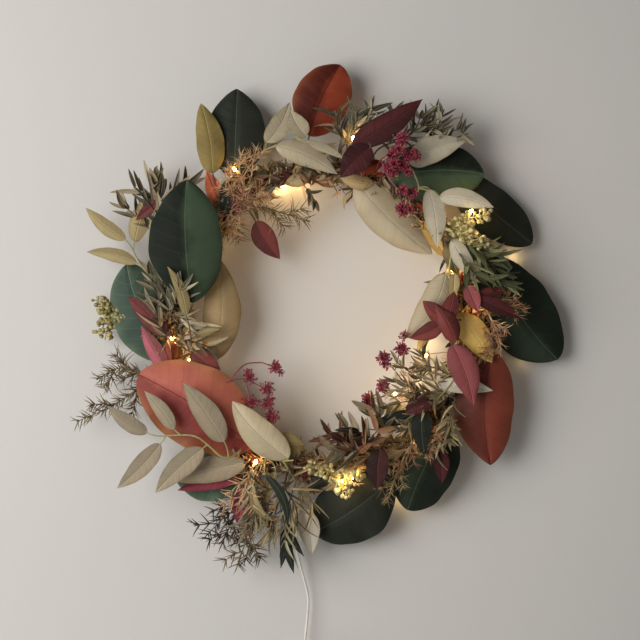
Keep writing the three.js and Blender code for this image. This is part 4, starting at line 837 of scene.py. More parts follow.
# Leafy sprigs. A leaf's stalk starts at its joint, and a leaf that names no skin or shape has
# its sprig's own.
leafySprigs = dict(
    sprig_lower_middle=dict(
        colour="cream", slot="leaf_cream", stem="greenStem", shape=slimLeaf,
        stems=[
            [244, [-52, -136, 50], [-36, -139, 54], [-26, -138, 58]],
            [[-36, -139, 54], [-24, -162, 40], [-18, -184, 36]],
        ],
        leaves=[
            dict(joint=[-18, -184, 36], skin="white", tone=0.4, foot=[-17, -188, 36],
                tip=[-8, -233, 34], width=22, bow=-2, arch=2),
            dict(joint=[-36, -139, 54], tone=0.9, foot=[-31, -136, 56], tip=[-86, -80, 62],
                width=32, bow=-4, arch=5, cup=-4, shape=longLeaf),
            dict(joint=[-52, -136, 50], skin="olive", foot=[-46, -129, 48], tip=[-15, -124, 44],
                width=26, bow=-3, arch=3, shape=longLeaf),
            dict(joint=[-18, -184, 36], skin="deepGreen", foot=[-36, -204, 46], tip=[-39, -246, 44],
                width=9, bow=-2),
            dict(joint=[-18, -184, 36], skin="deepGreen", foot=[-34, -200, 48], tip=[-16, -234, 46],
                width=8, bow=2),
            dict(joint=[-52, -136, 50], skin="olive", foot=[-44, -150, 48], tip=[-56, -190, 52],
                width=11, bow=2),
            dict(joint=[-18, -184, 36], skin="deepGreen", foot=[-35, -206, 47], tip=[-26, -251, 45],
                width=10, bow=1),
            dict(joint=[-52, -136, 50], skin="deepGreen", tone=0.9, foot=[-54, -152, 58],
                tip=[-32, -204, 52], width=9, bow=-7, arch=4),
            dict(joint=[-52, -136, 50], skin="khaki", tone=0.3, foot=[-66, -162, 60],
                tip=[-44, -198, 60], width=9, bow=8, arch=4),
        ],
    ),
    eucalyptus_top_left=dict(
        colour="cream", slot="leaf_cream", stem="greenStem", shape=slimLeaf,
        stems=[[103, [-54, 168, 42], [-44, 172, 50], [-22, 180, 52]]],
        leaves=[
            dict(joint=[-54, 168, 42], tone=0.35, foot=[-53, 176, 44], tip=[-30, 216, 42], width=21,
                bow=3, arch=2),
            dict(joint=[-22, 180, 52], tone=0.35, foot=[-14, 182, 52], tip=[-29, 207, 50], width=20,
                bow=-2, arch=3),
            dict(joint=[-44, 172, 50], foot=[-43, 172, 54], tip=[17, 144, 54], width=23, bow=-4,
                arch=3, cup=-2),
            dict(joint=[-22, 180, 52], tone=0.25, foot=[-16, 176, 55], tip=[25, 158, 58], width=9,
                bow=-2),
            dict(joint=[-54, 168, 42], skin="burgundy", foot=[-78, 136, 44], tip=[-84, 104, 46],
                width=15, bow=1, shape=pointedLeaf),
            dict(joint=[-54, 168, 42], skin="deepGreen", foot=[-90, 140, 44], tip=[-96, 98, 44],
                width=17, bow=-1, shape=pointedLeaf),
            dict(joint=[-44, 172, 50], skin="cream", tone=0.3, foot=[-30, 160, 48],
                tip=[20, 176, 46], width=13, bow=2),
        ],
    ),
    eucalyptus_top_right=dict(
        colour="cream", slot="leaf_cream", stem="greenStem", shape=slimLeaf,
        stems=[[55, [98, 131, 46], [92, 148, 50]], [[98, 131, 46], [114, 126, 52]]],
        leaves=[
            dict(joint=[92, 148, 50], skin="creamPale", tone=0.7, foot=[88, 156, 50],
                tip=[144, 177, 46], width=27, bow=-4, arch=3, cup=-2),
            dict(joint=[98, 131, 46], skin="creamPale", tone=0.85, foot=[108, 129, 52],
                tip=[116, 72, 48], width=22, bow=-2, arch=3),
            dict(joint=[114, 126, 52], skin="creamPale", tone=0.85, foot=[118, 122, 54],
                tip=[171, 111, 56], width=19, bow=-3, arch=2),
        ],
    ),
    eucalyptus_right=dict(
        colour="tan", slot="leaf_tan", stem="greenStem", shape=slimLeaf,
        stems=[[24, [132, 74, 44], [128, 46, 50], [132, 14, 50]], [[132, 14, 50], [138, -50, 50]]],
        leaves=[
            dict(joint=[132, 74, 44], skin="creamPale", tone=0.85, foot=[131, 80, 50],
                tip=[156, 38, 56], width=18, bow=2, arch=3),
            dict(joint=[128, 46, 50], skin="cream", foot=[124, 45, 50], tip=[86, -18, 42], width=32,
                bow=-7, arch=5, cup=-4, shape=longLeaf),
            dict(joint=[128, 46, 50], skin="khaki", tone=0.9, foot=[133, 46, 54], tip=[131, 20, 54],
                width=11, arch=1),
            dict(joint=[132, 14, 50], skin="goldenLamplit", tone=0.9, foot=[136, 6, 50],
                tip=[170, -42, 48], width=28, bow=-2, arch=3, shape=longLeaf),
            dict(joint=[138, -50, 50], skin="white", foot=[118, -64, 50], tip=[171, -70, 48],
                width=16, bow=-2, arch=1),
            dict(joint=[128, 46, 50], skin="goldenLamplit", tone=0.7, foot=[104, 0, 44], tip=[96, -32, 44],
                width=11, bow=-3, arch=2),
            dict(joint=[128, 46, 50], skin="goldenLamplit", tone=0.9, foot=[124, 64, 40],
                tip=[98, 100, 36], width=15, bow=2),
            dict(joint=[138, -50, 50], skin="goldenLamplit", tone=0.9, foot=[86, -90, 50],
                tip=[62, -87, 48], width=9, bow=1),
            dict(joint=[132, 14, 50], skin="cream", tone=0.7, foot=[134, -60, 48],
                tip=[112, -86, 48], width=11, bow=1),
        ],
    ),
    eucalyptus_left=dict(
        colour="khaki", slot="leaf_khaki", stem="greenStem", shape=slimLeaf,
        stems=[[160, [-166, 44, 34], [-178, 54, 36], [-186, 68, 36]]],
        leaves=[
            dict(joint=[-186, 68, 36], tone=0.5, foot=[-194, 80, 36], tip=[-234, 112, 30], width=15,
                bow=-2, arch=3),
            dict(joint=[-178, 54, 36], foot=[-183, 57, 36], tip=[-233, 68, 30], width=14, bow=3,
                arch=3),
            dict(joint=[-186, 68, 36], foot=[-185, 78, 36], tip=[-167, 128, 32], width=20, bow=-2,
                arch=3),
            dict(joint=[-166, 44, 34], skin="burgundy", foot=[-158, 118, 44], tip=[-183, 99, 42],
                width=12, bow=1, shape=pointedLeaf),
            dict(joint=[-166, 44, 34], skin="tan", tone=0.4, foot=[-154, 122, 46],
                tip=[-129, 143, 48], width=8, bow=2),
        ],
    ),
    eucalyptus_lower_left=dict(
        colour="sage", slot="leaf_sage", stem="greenStem", shape=slimLeaf,
        stems=[
            [
                236, [-78, -128, 52], [-88, -135, 60], [-97, -134, 64], [-108, -124, 66],
                [-122, -114, 66], [-141, -113, 64], [-156, -114, 62],
            ],
        ],
        leaves=[
            dict(joint=[-136, -113, 65], foot=[-143, -107, 66], tip=[-172, -70, 64], width=15,
                bow=2, arch=3),
            dict(joint=[-90, -135, 61], foot=[-94, -119, 66], tip=[-134, -62, 68], width=25, bow=2,
                arch=4),
            dict(joint=[-156, -114, 62], foot=[-170, -111, 60], tip=[-209, -85, 54], width=16,
                bow=-2, arch=3),
            dict(joint=[-152, -114, 62], foot=[-157, -122, 60], tip=[-200, -166, 54], width=20,
                bow=-2, arch=3),
            dict(joint=[-110, -122, 66], foot=[-115, -126, 62], tip=[-162, -170, 58], width=23,
                bow=2, arch=3),
        ],
    ),
    burgundy_leaves_top=dict(
        colour="burgundy", slot="leaf_burgundy", stem="darkStem", shape=pointedLeaf,
        stems=[[78, [38, 164, 52], [48, 174, 58]]],
        leaves=[
            dict(joint=[48, 174, 58], skin="wine", tone=0.4, foot=[50, 170, 60], tip=[20, 140, 62],
                width=27, bow=2, arch=2),
            dict(joint=[38, 164, 52], skin="wine", tone=0.75, foot=[32, 172, 58],
                tip=[101, 218, 52], width=26, bow=3, arch=3),
        ],
    ),
    burgundy_leaf_inner_left=dict(
        colour="burgundy", slot="leaf_burgundy", stem="darkStem", shape=pointedLeaf,
        stems=[[118, [-70, 108, 36], [-66, 102, 38]]],
        leaves=[
            dict(joint=[-66, 102, 38], foot=[-64, 98, 38], tip=[-40, 61, 34], width=23, bow=2,
                arch=2),
        ],
    ),
    burgundy_leaves_left=dict(
        colour="burgundy", slot="leaf_burgundy", stem="darkStem", shape=pointedLeaf,
        stems=[[186, [-150, -12, 44], [-140, -24, 46], [-128, -32, 46]]],
        leaves=[
            dict(joint=[-150, -12, 44], tone=0.35, foot=[-153, -14, 45], tip=[-191, 23, 38],
                width=22, bow=2, arch=2),
            dict(joint=[-150, -12, 44], skin="pinkRose", tone=0.7, foot=[-152, -52, 40],
                tip=[-178, -6, 38], width=17, arch=2),
            dict(joint=[-128, -32, 46], foot=[-127, -32, 46], tip=[-98, -62, 46], width=23, bow=-2,
                arch=2),
            dict(joint=[-128, -32, 46], skin="olive", tone=0.35, foot=[-131, 4, 66],
                tip=[-149, 52, 70], width=12, bow=4, arch=2, shape=slimLeaf),
            dict(joint=[-128, -32, 46], skin="sage", tone=0.6, foot=[-134, -2, 54],
                tip=[-111, -5, 56], width=9, bow=2, arch=1, shape=slimLeaf),
            dict(joint=[-128, -32, 46], skin="khaki", tone=0.3, foot=[-124, -16, 52],
                tip=[-99, -9, 52], width=8, bow=-1, arch=1, shape=slimLeaf),
        ],
    ),
    burgundy_leaves_right_star=dict(
        colour="burgundy", slot="leaf_burgundy", stem="darkStem", shape=pointedLeaf,
        stems=[[-2, [136, 0, 56], [124, -4, 62], [128, -22, 64]]],
        leaves=[
            dict(joint=[124, -4, 62], foot=[122, -2, 62], tip=[88, -18, 58], width=17, bow=-2,
                arch=2),
            dict(joint=[124, -4, 62], foot=[124, -2, 64], tip=[101, 19, 60], width=17, arch=2),
            dict(joint=[124, -4, 62], foot=[125, 0, 64], tip=[132, 28, 62], width=17, arch=2),
            dict(joint=[128, -22, 64], skin="rose", tone=0.6, foot=[130, -24, 64],
                tip=[151, -84, 58], width=28, bow=-3, arch=3, cup=-3),
            dict(joint=[128, -22, 64], tone=0.6, foot=[133, -21, 66], tip=[113, 15, 65], width=20,
                bow=2, arch=3, cup=-3, wave=1.2),
        ],
    ),
    burgundy_leaves_right_high=dict(
        colour="burgundy", slot="leaf_burgundy", stem="darkStem", shape=pointedLeaf,
        stems=[[9, [146, 30, 56], [150, 24, 58]]],
        leaves=[
            dict(joint=[146, 30, 56], skin="rose", tone=0.8, foot=[145, 34, 58], tip=[156, 8, 60],
                width=16, arch=1),
            dict(joint=[150, 24, 58], skin="wine", tone=0.6, foot=[154, 22, 58], tip=[200, 2, 52],
                width=15, arch=2),
            dict(joint=[150, 24, 58], foot=[156, 26, 57], tip=[188, 30, 50], width=10, arch=1),
        ],
    ),
    burgundy_leaves_bottom=dict(
        colour="burgundy", slot="leaf_burgundy", stem="darkStem", shape=pointedLeaf,
        stems=[[-70, [50, -124, 50], [56, -122, 58]]],
        leaves=[
            dict(joint=[56, -122, 58], skin="plum", tone=0.2, foot=[59, -126, 58],
                tip=[56, -168, 54], width=22, bow=1, arch=2),
            dict(joint=[50, -124, 50], foot=[48, -118, 50], tip=[12, -128, 46], width=22, bow=-2,
                arch=2),
        ],
    ),
    burgundy_leaves_lower_right=dict(
        colour="burgundy", slot="leaf_burgundy", stem="darkStem", shape=pointedLeaf,
        stems=[[-44, [116, -98, 44], [118, -122, 46]], [[116, -98, 44], [110, -82, 56]]],
        leaves=[
            dict(joint=[118, -122, 46], skin="wine", tone=0.7, foot=[120, -128, 46],
                tip=[121, -162, 42], width=16, arch=2),
            dict(joint=[110, -82, 56], skin="wine", tone=0.5, foot=[108, -80, 56],
                tip=[84, -92, 54], width=20, bow=2, arch=2),
            dict(joint=[110, -82, 56], skin="deepGreen", tone=0.4, foot=[101, -86, 53],
                tip=[103, -134, 56], width=20, bow=2, arch=3),
            dict(joint=[110, -82, 56], skin="deepGreen", tone=0.3, foot=[92, -92, 50],
                tip=[54, -100, 52], width=14, bow=-2, arch=2, shape=slimLeaf),
        ],
    ),
    burgundy_leaves_bottom_left=dict(
        colour="crimson", slot="leaf_crimson", stem="darkStem", shape=pointedLeaf,
        stems=[[241, [-76, -152, 40], [-76, -162, 46]]],
        leaves=[
            dict(joint=[-76, -152, 40], foot=[-82, -157, 38], tip=[-142, -170, 34], width=18, bow=2,
                arch=1),
            dict(joint=[-76, -162, 46], foot=[-76, -166, 46], tip=[-80, -206, 42], width=16, bow=1,
                arch=2),
        ],
    ),
)


def makeLeafySprig(name, sprig, random):
    # Slot 0 is the node's own colour and slot 1 its stem; a leaf of another colour adds one more
    leaves = [dict(dict(shape=sprig["shape"]), **leaf) for leaf in sprig["leaves"]]
    others = list(dict.fromkeys(leaf["skin"] for leaf in leaves if "skin" in leaf))
    build = Build()
    for stem in sprig["stems"]:
        addStalk(build, Way(stemPath(stem)), stalk["stem"], 1, rings=24)
    for leaf in leaves:
        slot = 2 + others.index(leaf["skin"]) if "skin" in leaf else 0
        start, along = bladeAxes(leaf)[:2]
        joint = place(leaf["joint"])
        before = start - stalk["leafRun"] * np.linalg.norm(joint - start) * along
        addStalk(build, bezier(joint, before, start + stalk["sunk"] * along), stalk["leaf"], 1)
        addBlade(build, leaf, blade["rows"], blade["columns"], random, slot)
    colours = [sprig["colour"], sprig["stem"], *others]
    build.finish(name + "_fine", colours, sprig["slot"], name, sharp=blade["sharp"])


# Sprays: narrow leaves, needles or berries in whorls up their stems. Lean is the leaves' angle
# to the stem, flat their depth towards the wall, and fill how many more stand in 10 mm of stem.
# Narrower and shorter are the shares lost towards a stem's tip. A group is a colour with its
# stems.
whorl = dict(
    height=1.2, twist=0.6, size=0.9, corners=3, narrower=0.3, shorter=0.25, lengths=[0.82, 1.12],
    before=0.8, after=0.3,
)
shoot = dict(
    size=0.7, corners=4, lean=48, flat=0.5, shorter=0.4, lengths=[0.85, 1.15], bend=0.2,
    radii=[0.6, 0.3],
)
sprayStem = dict(rooted=[1.1, 0.8, 0.5], branch=[0.8, 0.4], corners=6, step=5)
filler = dict(end=0.98, root=0.4, lengths=[0.6, 1.0], rough=10, face=0.6)


def draws(seed):
    # The same draws as the solids take for their whorls
    count = 0

    def draw(low, high):
        nonlocal count
        count += 1
        value = np.sin(count * 12.9898 + seed * 78.233) * 43758.5453
        return low + (high - low) * (value - np.floor(value))

    return draw


def grow(found, way, start, turn, size, whorls, corners, shoots, rule, draw):
    # Leaves out of each side of every whorl, and shoots out of some; found gathers both
    for k in range(whorls):
        s = start + (1 - start) * (k + whorl["before"]) / (whorls + whorl["after"])
        centre, along, side, outer = way.frame(s)
        turns = turn + whorl["twist"] * (k + 1) + 2 * np.pi * np.arange(corners)[:, None] / corners
        hub = side * np.cos(turns) + outer * np.sin(turns)
        hub = size * (1 - whorl["narrower"] * s) * hub
        lows = way.at(max(s - whorl["height"] / 2 / way.length, 0)) + hub
        roots = centre + (hub + np.roll(hub, -1, 0)) / 2
        outward = square(roots - centre, along)
        chosen = np.argmax((1 if k % 2 else -1) * outward @ side)
        for c in range(corners):
            shooting = c == chosen and k < shoots
            kind = shoot if shooting else rule
            out = square(outward[c] * [1, kind["flat"], 1], along)
            tilt = np.radians(kind["lean"])
            direction = along * np.cos(tilt) + out * np.sin(tilt)
            if not shooting:
                across = square(hub[(c + 1) % corners] - hub[c], direction)
                reach = rule["length"] * draw(*whorl["lengths"]) * (1 - whorl["shorter"] * s)
                found["leaves"].append([roots[c], direction, across, [reach, 0, 0]])
                continue
            reach = rule["shootLength"] * draw(*shoot["lengths"]) * (1 - shoot["shorter"] * s)
            end = roots[c] + direction * reach + along * shoot["bend"] * reach
            branch = Way([roots[c], roots[c] + direction * reach / 2, end])
            found["stems"].append((branch, 0.0, shoot["radii"]))
            base = branch.frame(0)
            arm = lows[c] - roots[c]
            angle = np.arctan2(arm @ base[3], arm @ base[2])
            more = rule["shootWhorls"]
            grow(found, branch, 0.0, angle, shoot["size"], more, shoot["corners"], 0, rule, draw)


def between(way, start, count, rule, random, rough=filler["rough"]):
    # More leaves between the whorls, each at its own turn about the stem
    s = random.uniform(start, filler["end"], (count, 1))
    centre, along, side, outer = way.frame(s[:, 0])
    turn = random.uniform(0, 2 * np.pi, (count, 1))
    out = square((side * np.cos(turn) + outer * np.sin(turn)) * [1, rule["flat"], 1], along)
    tilt = np.radians(rule["lean"] + random.uniform(-rough, rough, (count, 1)))
    direction = along * np.cos(tilt) + out * np.sin(tilt)
    reach = rule["length"] * random.uniform(*filler["lengths"], (count, 1))
    reach = reach * (1 - whorl["shorter"] * s)
    across = unit(np.cross(direction, out))
    return np.stack([centre + filler["root"] * out, direction, across, reach * [1, 0, 0]], 1)


def sprayLeaves(stems, rule, random):
    # All of a spray's stems and leaves; leaves have the shape (leaves, 4, 3):
    # root, direction, across and [reach, 0, 0]
    found = dict(leaves=[], stems=[])
    for number, stem in enumerate(stems):
        way = Way(stemPath(stem))
        rooted = np.isscalar(stem[0])
        start = rule["first"] if rooted else 0.0
        fewer = 0 if rooted else 1
        seed = rule["seed"] + number
        found["stems"].append((way, start, sprayStem["rooted" if rooted else "branch"]))
        whorls = rule["whorls"] - fewer
        shoots = max(0, rule["shoots"] - fewer)
        corners = whorl["corners"]
        grow(found, way, start, seed, whorl["size"], whorls, corners, shoots, rule, draws(seed))
    leaves = [np.array(found["leaves"])]
    for way, start, radii in found["stems"]:
        count = int(rule["fill"] * way.length * (1 - start) / 10)
        leaves.append(between(way, start, count, rule, random))
    return np.concatenate(leaves), found["stems"]


def addStems(build, stems, slot):
    for way, start, radii in stems:
        rings = max(4, int(way.length / sprayStem["step"]))
        addStalk(build, way, radii, slot, sprayStem["corners"], rings)


def leafFrames(leaves):
    # Each leaf's face is turned to look out from the wall
    root, along, across, reach = np.moveaxis(leaves, 1, 0)
    face = np.cross(across, along)
    face = face * np.where(face[:, 1:2] > 0, -1.0, 1.0) + [0, -filler["face"], 0]
    face = square(face, along)
    spread = [v[:, None, None] for v in (root, along, np.cross(along, face), face)]
    return *spread, reach[:, 0][:, None, None]


# Narrow leaves
narrowBlade = dict(
    share=[0, 0.1, 0.25, 0.42, 0.6, 0.78, 0.92, 1], across=[-1, 0, 1, 1, 0, -1],
    rise=0.45, fall=0.75, fuller=1.75, least=0.15, fold=0.3, thickness=0.22, sharp=65, longer=1.2,
    widths=[0.7, 1.2], lengths=[0.7, 1.15], curl=[-0.3, 0.35], bend=[-0.32, 0.32],
)


def addNarrowLeaves(build, leaves, width, random, slot=0):
    # Thin blades: half width (s^rise)(1 - s)^fall, curled and bent by s^2, folded by |t|
    root, along, across, face, reach = leafFrames(leaves)
    s = np.array(narrowBlade["share"])[None, :, None]
    t = np.array(narrowBlade["across"])[None, None]
    side = np.repeat([1, -1], t.size // 2)[None, None]
    each = (len(leaves), 1, 1)
    half = width / 2 * narrowBlade["fuller"] * s ** narrowBlade["rise"]
    half = np.maximum(half * (1 - s) ** narrowBlade["fall"], narrowBlade["least"])
    half = half * random.uniform(*narrowBlade["widths"], each)
    reach = reach * random.uniform(*narrowBlade["lengths"], each)
    curl = random.uniform(*narrowBlade["curl"], each) * reach
    bend = random.uniform(*narrowBlade["bend"], each) * reach
    out = curl * s**2 + narrowBlade["fold"] * half * np.abs(t) + side * narrowBlade["thickness"]
    rings = root + along * (reach * s)[..., None] + across * (half * t + bend * s**2)[..., None]
    rings = rings + face * out[..., None]
    spot = np.stack(np.broadcast_arrays(s, t, side < 0, out)[:3], -1)
    build.add(rings, spot, half, random.uniform(0, 1, len(leaves)), slot)


narrowSprigs = dict(
    narrow_sprig_upper_left=dict(
        slot="narrow_leaf_green", whorls=3, length=29, width=7.6, lean=32, first=0.5, seed=3,
        fill=0.5,
        groups=[
            ["narrowGreen", [
                [163, [-152, 66, 42], [-158, 108, 44], [-162, 146, 40]],
                [[-157, 100, 44], [-172, 122, 40], [-186, 132, 36]],
                [[-157, 100, 44], [-140, 128, 40], [-128, 140, 42]],
            ]],
            ["narrowGreen", [
                [155, [-158, 84, 40], [-170, 112, 38], [-166, 142, 38]],
                [160, [-160, 80, 36], [-184, 104, 36], [-198, 116, 34]],
            ]],
        ],
    ),
    narrow_sprig_left=dict(
        slot="narrow_leaf_olive", whorls=3, length=25, width=6, lean=34, first=0.4, seed=8,
        fill=0.9,
        groups=[
            ["narrowGrey", [
                [184, [-148, 6, 50], [-152, 24, 52], [-158, 44, 50]],
                [[-148, 6, 50], [-138, 26, 66], [-134, 36, 74]],
                [[-148, 6, 50], [-128, -2, 52], [-118, -8, 48]],
            ]],
            ["narrowGreen", [
                [180, [-146, 10, 40], [-164, 30, 44], [-168, 50, 42]],
                [186, [-146, -16, 42], [-124, -22, 48], [-106, -28, 46]],
                [190, [-150, -20, 44], [-162, 4, 48], [-156, 28, 50]],
            ]],
        ],
    ),
    narrow_sprig_top=dict(
        slot="narrow_leaf_green", whorls=3, length=24, width=5.5, lean=46, first=0.5, seed=5,
        groups=[
            ["narrowGreen", [
                [80, [26, 178, 38], [16, 196, 40], [14, 208, 40]],
                [[26, 178, 38], [44, 198, 42], [56, 212, 42]],
                [[26, 178, 38], [70, 178, 40], [98, 190, 40], [122, 202, 38]],
                [[98, 190, 40], [128, 188, 38], [146, 192, 36]],
            ]],
            ["narrowGrey", [
                [84, [20, 168, 36], [34, 190, 42], [38, 208, 42]],
                [76, [40, 172, 40], [66, 190, 42], [76, 208, 40]],
                [70, [56, 168, 40], [92, 186, 40], [102, 208, 38]],
                [64, [76, 160, 40], [110, 180, 40], [124, 210, 36]],
                [60, [90, 158, 40], [122, 176, 40], [148, 186, 36]],
            ]],
        ],
    ),
    narrow_sprig_right=dict(
        slot="narrow_leaf_olive", whorls=4, length=26, width=6.8, lean=36, first=0.45, seed=12,
        fill=0.6,
        groups=[
            ["narrowFresh", [[29, [140, 62, 60], [156, 42, 64], [180, 38, 60]]]],
            ["narrowFresh", [
                [24, [142, 66, 44], [168, 56, 56], [188, 34, 52]],
                [30, [134, 84, 44], [160, 62, 54], [176, 46, 56]],
                [34, [132, 92, 42], [152, 74, 50], [182, 62, 46]],
            ]],
        ],
    ),
    narrow_sprig_lower_right=dict(
        slot="narrow_leaf_olive", whorls=4, length=20, width=4, lean=38, first=0.4, seed=21,
        groups=[
            ["narrowLight", [
                [-28, [134, -78, 48], [128, -100, 54], [128, -122, 56]],
                [[134, -78, 48], [104, -62, 52], [84, -48, 54], [74, -40, 52]],
                [[118, -69, 50], [108, -50, 50], [100, -32, 50]],
            ]],
            ["narrowLight", [
                [-30, [124, -70, 44], [104, -84, 52], [84, -104, 54]],
                [-34, [118, -84, 44], [92, -80, 50], [62, -86, 50]],
                [-38, [110, -96, 44], [84, -108, 52], [58, -104, 52]],
                [-24, [136, -60, 44], [116, -48, 50], [92, -44, 50]],
                [-36, [124, -86, 44], [124, -106, 54], [112, -136, 50]],
                [-32, [120, -74, 44], [98, -70, 52], [72, -58, 52]],
                [-36, [116, -84, 44], [90, -72, 54], [64, -70, 50]],
            ]],
        ],
    ),
    narrow_sprig_bottom_right=dict(
        slot="narrow_leaf_brown", whorls=3, length=28, width=9, lean=42, first=0.5, seed=15,
        fill=0.5,
        groups=[
            ["narrowBrown", [
                [-74, [36, -134, 55], [22, -118, 60], [6, -112, 58]],
                [[36, -134, 55], [52, -114, 61], [62, -102, 60]],
            ]],
            ["narrowGreen", [
                [-62, [62, -124, 44], [42, -112, 54], [22, -104, 52]],
                [-58, [72, -118, 44], [62, -98, 54], [48, -84, 50]],
                [-66, [56, -132, 46], [34, -128, 56], [8, -128, 54]],
            ]],
        ],
    ),
    narrow_bunch_bottom=dict(
        slot="narrow_leaf_olive", whorls=3, length=32, width=3.2, lean=30, first=0.45, seed=27,
        fill=0.9,
        groups=[
            ["narrowOlive", [
                [258, [-36, -166, 46], [-44, -190, 48], [-50, -214, 44]],
                [[-36, -166, 46], [-24, -184, 50], [-22, -208, 48]],
                [[-36, -166, 46], [-58, -170, 54], [-64, -190, 56]],
                [[-36, -166, 46], [-14, -170, 52], [-4, -188, 54]],
                [[-36, -166, 46], [-22, -150, 42], [-2, -146, 42]],
            ]],
            ["narrowGrey", [
                [246, [-58, -146, 48], [-66, -168, 56], [-62, -196, 54]],
                [252, [-52, -148, 44], [-58, -180, 50], [-78, -206, 46]],
                [264, [-22, -156, 44], [-34, -196, 52], [-34, -226, 46]],
            ]],
        ],
    ),
)


def makeNarrowSprig(name, sprig, random):
    rule = dict(dict(flat=0.6, shoots=0, fill=1.5), **sprig)
    build = Build()
    for slot, (colour, stems) in enumerate(rule["groups"]):
        leaves, ways = sprayLeaves(stems, rule, random)
        addStems(build, ways, len(rule["groups"]))
        leaves[:, 3] *= narrowBlade["longer"]
        addNarrowLeaves(build, leaves, rule["width"], random, slot)
    colours = [*(colour for colour, stems in rule["groups"]), "darkStem"]
    build.finish(name + "_fine", colours, rule["slot"], name, sharp=narrowBlade["sharp"])


# Needles
needle = dict(
    share=[0, 0.25, 0.5, 0.75, 1], size=[0.9, 0.85, 0.7, 0.5, 0.1], corners=4, longer=1.25,
    bend=0.35,
)


def addNeedles(build, leaves, thick, random, most=needle["bend"], slot=0):
    # Fine cones curled by s^2
    root, along, across, face, reach = leafFrames(leaves)
    s = np.array(needle["share"])[None, :, None]
    corners = needle["corners"]
    angle = (np.arange(corners) * 2 * np.pi / corners + np.pi / corners)[None, None]
    size = thick * np.array(needle["size"])[None, :, None]
    each = (len(leaves), 1, 1)
    curl = random.uniform(-most, most, each) * reach
    bend = random.uniform(-most, most, each) * reach
    x = size * np.cos(angle) + bend * s**2
    y = -size * np.sin(angle) + curl * s**2
    rings = root + along * (reach * s)[..., None] + across * x[..., None] + face * y[..., None]
    spot = np.stack(np.broadcast_arrays(s, 0.0, 0.0, x)[:3], -1)
    build.add(rings, spot, 1.0, random.uniform(0, 1, len(leaves)), slot)


needleTwigs = dict(
    needle_twig_left=dict(
        slot="needle_brown", whorls=4, shoots=3, shootLength=26, length=13, first=0.4, seed=2,
        fill=8, bend=0.5, thick=0.64,
        groups=[
            ["twigBrown", [
                [205, [-166, -56, 34], [-200, -48, 32], [-224, -60, 28]],
                [[-166, -56, 34], [-204, -84, 34], [-244, -102, 28]],
            ]],
        ],
    ),
    needle_twig_upper_left=dict(
        slot="needle_beige", whorls=3, shoots=2, shootLength=20, length=10, first=0.5, seed=4,
        fill=5, bend=0.6, thick=0.37,
        groups=[
            ["twigBeige", [
                [121, [-68, 142, 46], [-66, 158, 50], [-62, 172, 50]],
                [[-68, 142, 46], [-84, 136, 52], [-92, 124, 52]],
            ]],
            ["twigBeige", [
                [122, [-76, 134, 48], [-80, 152, 52], [-76, 168, 50]],
                [126, [-84, 124, 46], [-92, 138, 50], [-94, 148, 48]],
            ]],
            ["twigPink", [[119, [-68, 130, 46], [-72, 122, 52], [-66, 110, 52]]]],
        ],
    ),
    needle_twig_inner_left=dict(
        slot="needle_beige", whorls=4, shoots=3, shootLength=25, length=15, first=0.4, seed=6,
        fill=8, thick=0.5,
        groups=[
            ["twigMoss", [
                [126, [-84, 106, 42], [-60, 112, 42], [-36, 106, 38], [-10, 98, 34]],
                [[-84, 106, 42], [-88, 94, 42], [-84, 86, 40]],
            ]],
            ["twigBeige", [
                [124, [-78, 116, 44], [-64, 124, 48], [-52, 118, 46]],
                [128, [-88, 108, 44], [-92, 98, 46], [-90, 88, 44]],
            ]],
        ],
    ),
    needle_twigs_bottom=dict(
        slot="needle_dark", whorls=5, shoots=4, shootLength=27, length=13, first=0.4, seed=9,
        bend=0.12, fill=2, thick=0.8,
        groups=[
            ["twigDark", [
                [246, [-76, -176, 34], [-90, -206, 32], [-100, -228, 28]],
                [[-76, -176, 34], [-68, -206, 40], [-76, -246, 34]],
            ]],
            ["twigBrown", [[247, [-72, -168, 42], [-72, -210, 44], [-84, -250, 36]]]],
            ["twigPink", [[248, [-66, -160, 46], [-62, -184, 52], [-56, -208, 46]]]],
            ["twigBeige", [[246, [-68, -148, 50], [-74, -166, 58], [-82, -186, 56]]]],
            ["twigDark", [[243, [-80, -170, 38], [-96, -196, 36], [-114, -216, 30]]]],
        ],
    ),
    needle_twig_right=dict(
        slot="needle_beige", whorls=3, shoots=2, shootLength=20, length=10, first=0.5, seed=14,
        bend=0.5, thick=0.45,
        groups=[
            ["twigBeige", [
                [3, [164, 12, 48], [184, 18, 46], [198, 22, 42]],
                [[164, 12, 48], [176, -14, 50], [180, -34, 48]],
            ]],
            ["twigPink", [
                [8, [168, 22, 48], [188, 14, 50], [206, 10, 46]],
                [-2, [158, -6, 50], [168, -22, 54], [164, -40, 54]],
            ]],
        ],
    ),
    needle_twig_lower_right=dict(
        slot="needle_beige", whorls=3, shoots=2, shootLength=19, length=10, first=0.5, seed=17,
        bend=0.5, thick=0.45,
        groups=[
            ["twigOlive", [
                [-47, [84, -134, 46], [74, -158, 46], [66, -182, 42]],
                [[84, -134, 46], [96, -112, 48], [100, -90, 48]],
            ]],
            ["twigPink", [
                [-44, [104, -108, 48], [112, -122, 54], [108, -136, 54]],
                [-49, [92, -122, 48], [84, -140, 54], [76, -152, 52]],
            ]],
            ["twigBeige", [[-33, [112, -80, 46], [92, -62, 50], [80, -50, 48]]]],
        ],
    ),
)


def makeNeedleTwig(name, twig, random):
    rule = dict(lean=50, flat=0.8, shootWhorls=2, fill=6, bend=needle["bend"], thick=0.55)
    rule = dict(rule, **twig)
    build = Build()
    for slot, (colour, stems) in enumerate(rule["groups"]):
        leaves, ways = sprayLeaves(stems, rule, random)
        addStems(build, ways, slot)
        leaves[:, 3] *= needle["longer"]
        addNeedles(build, leaves, rule["thick"], random, rule["bend"], slot)
    build.finish(name + "_fine", [colour for colour, stems in rule["groups"]], rule["slot"], name)


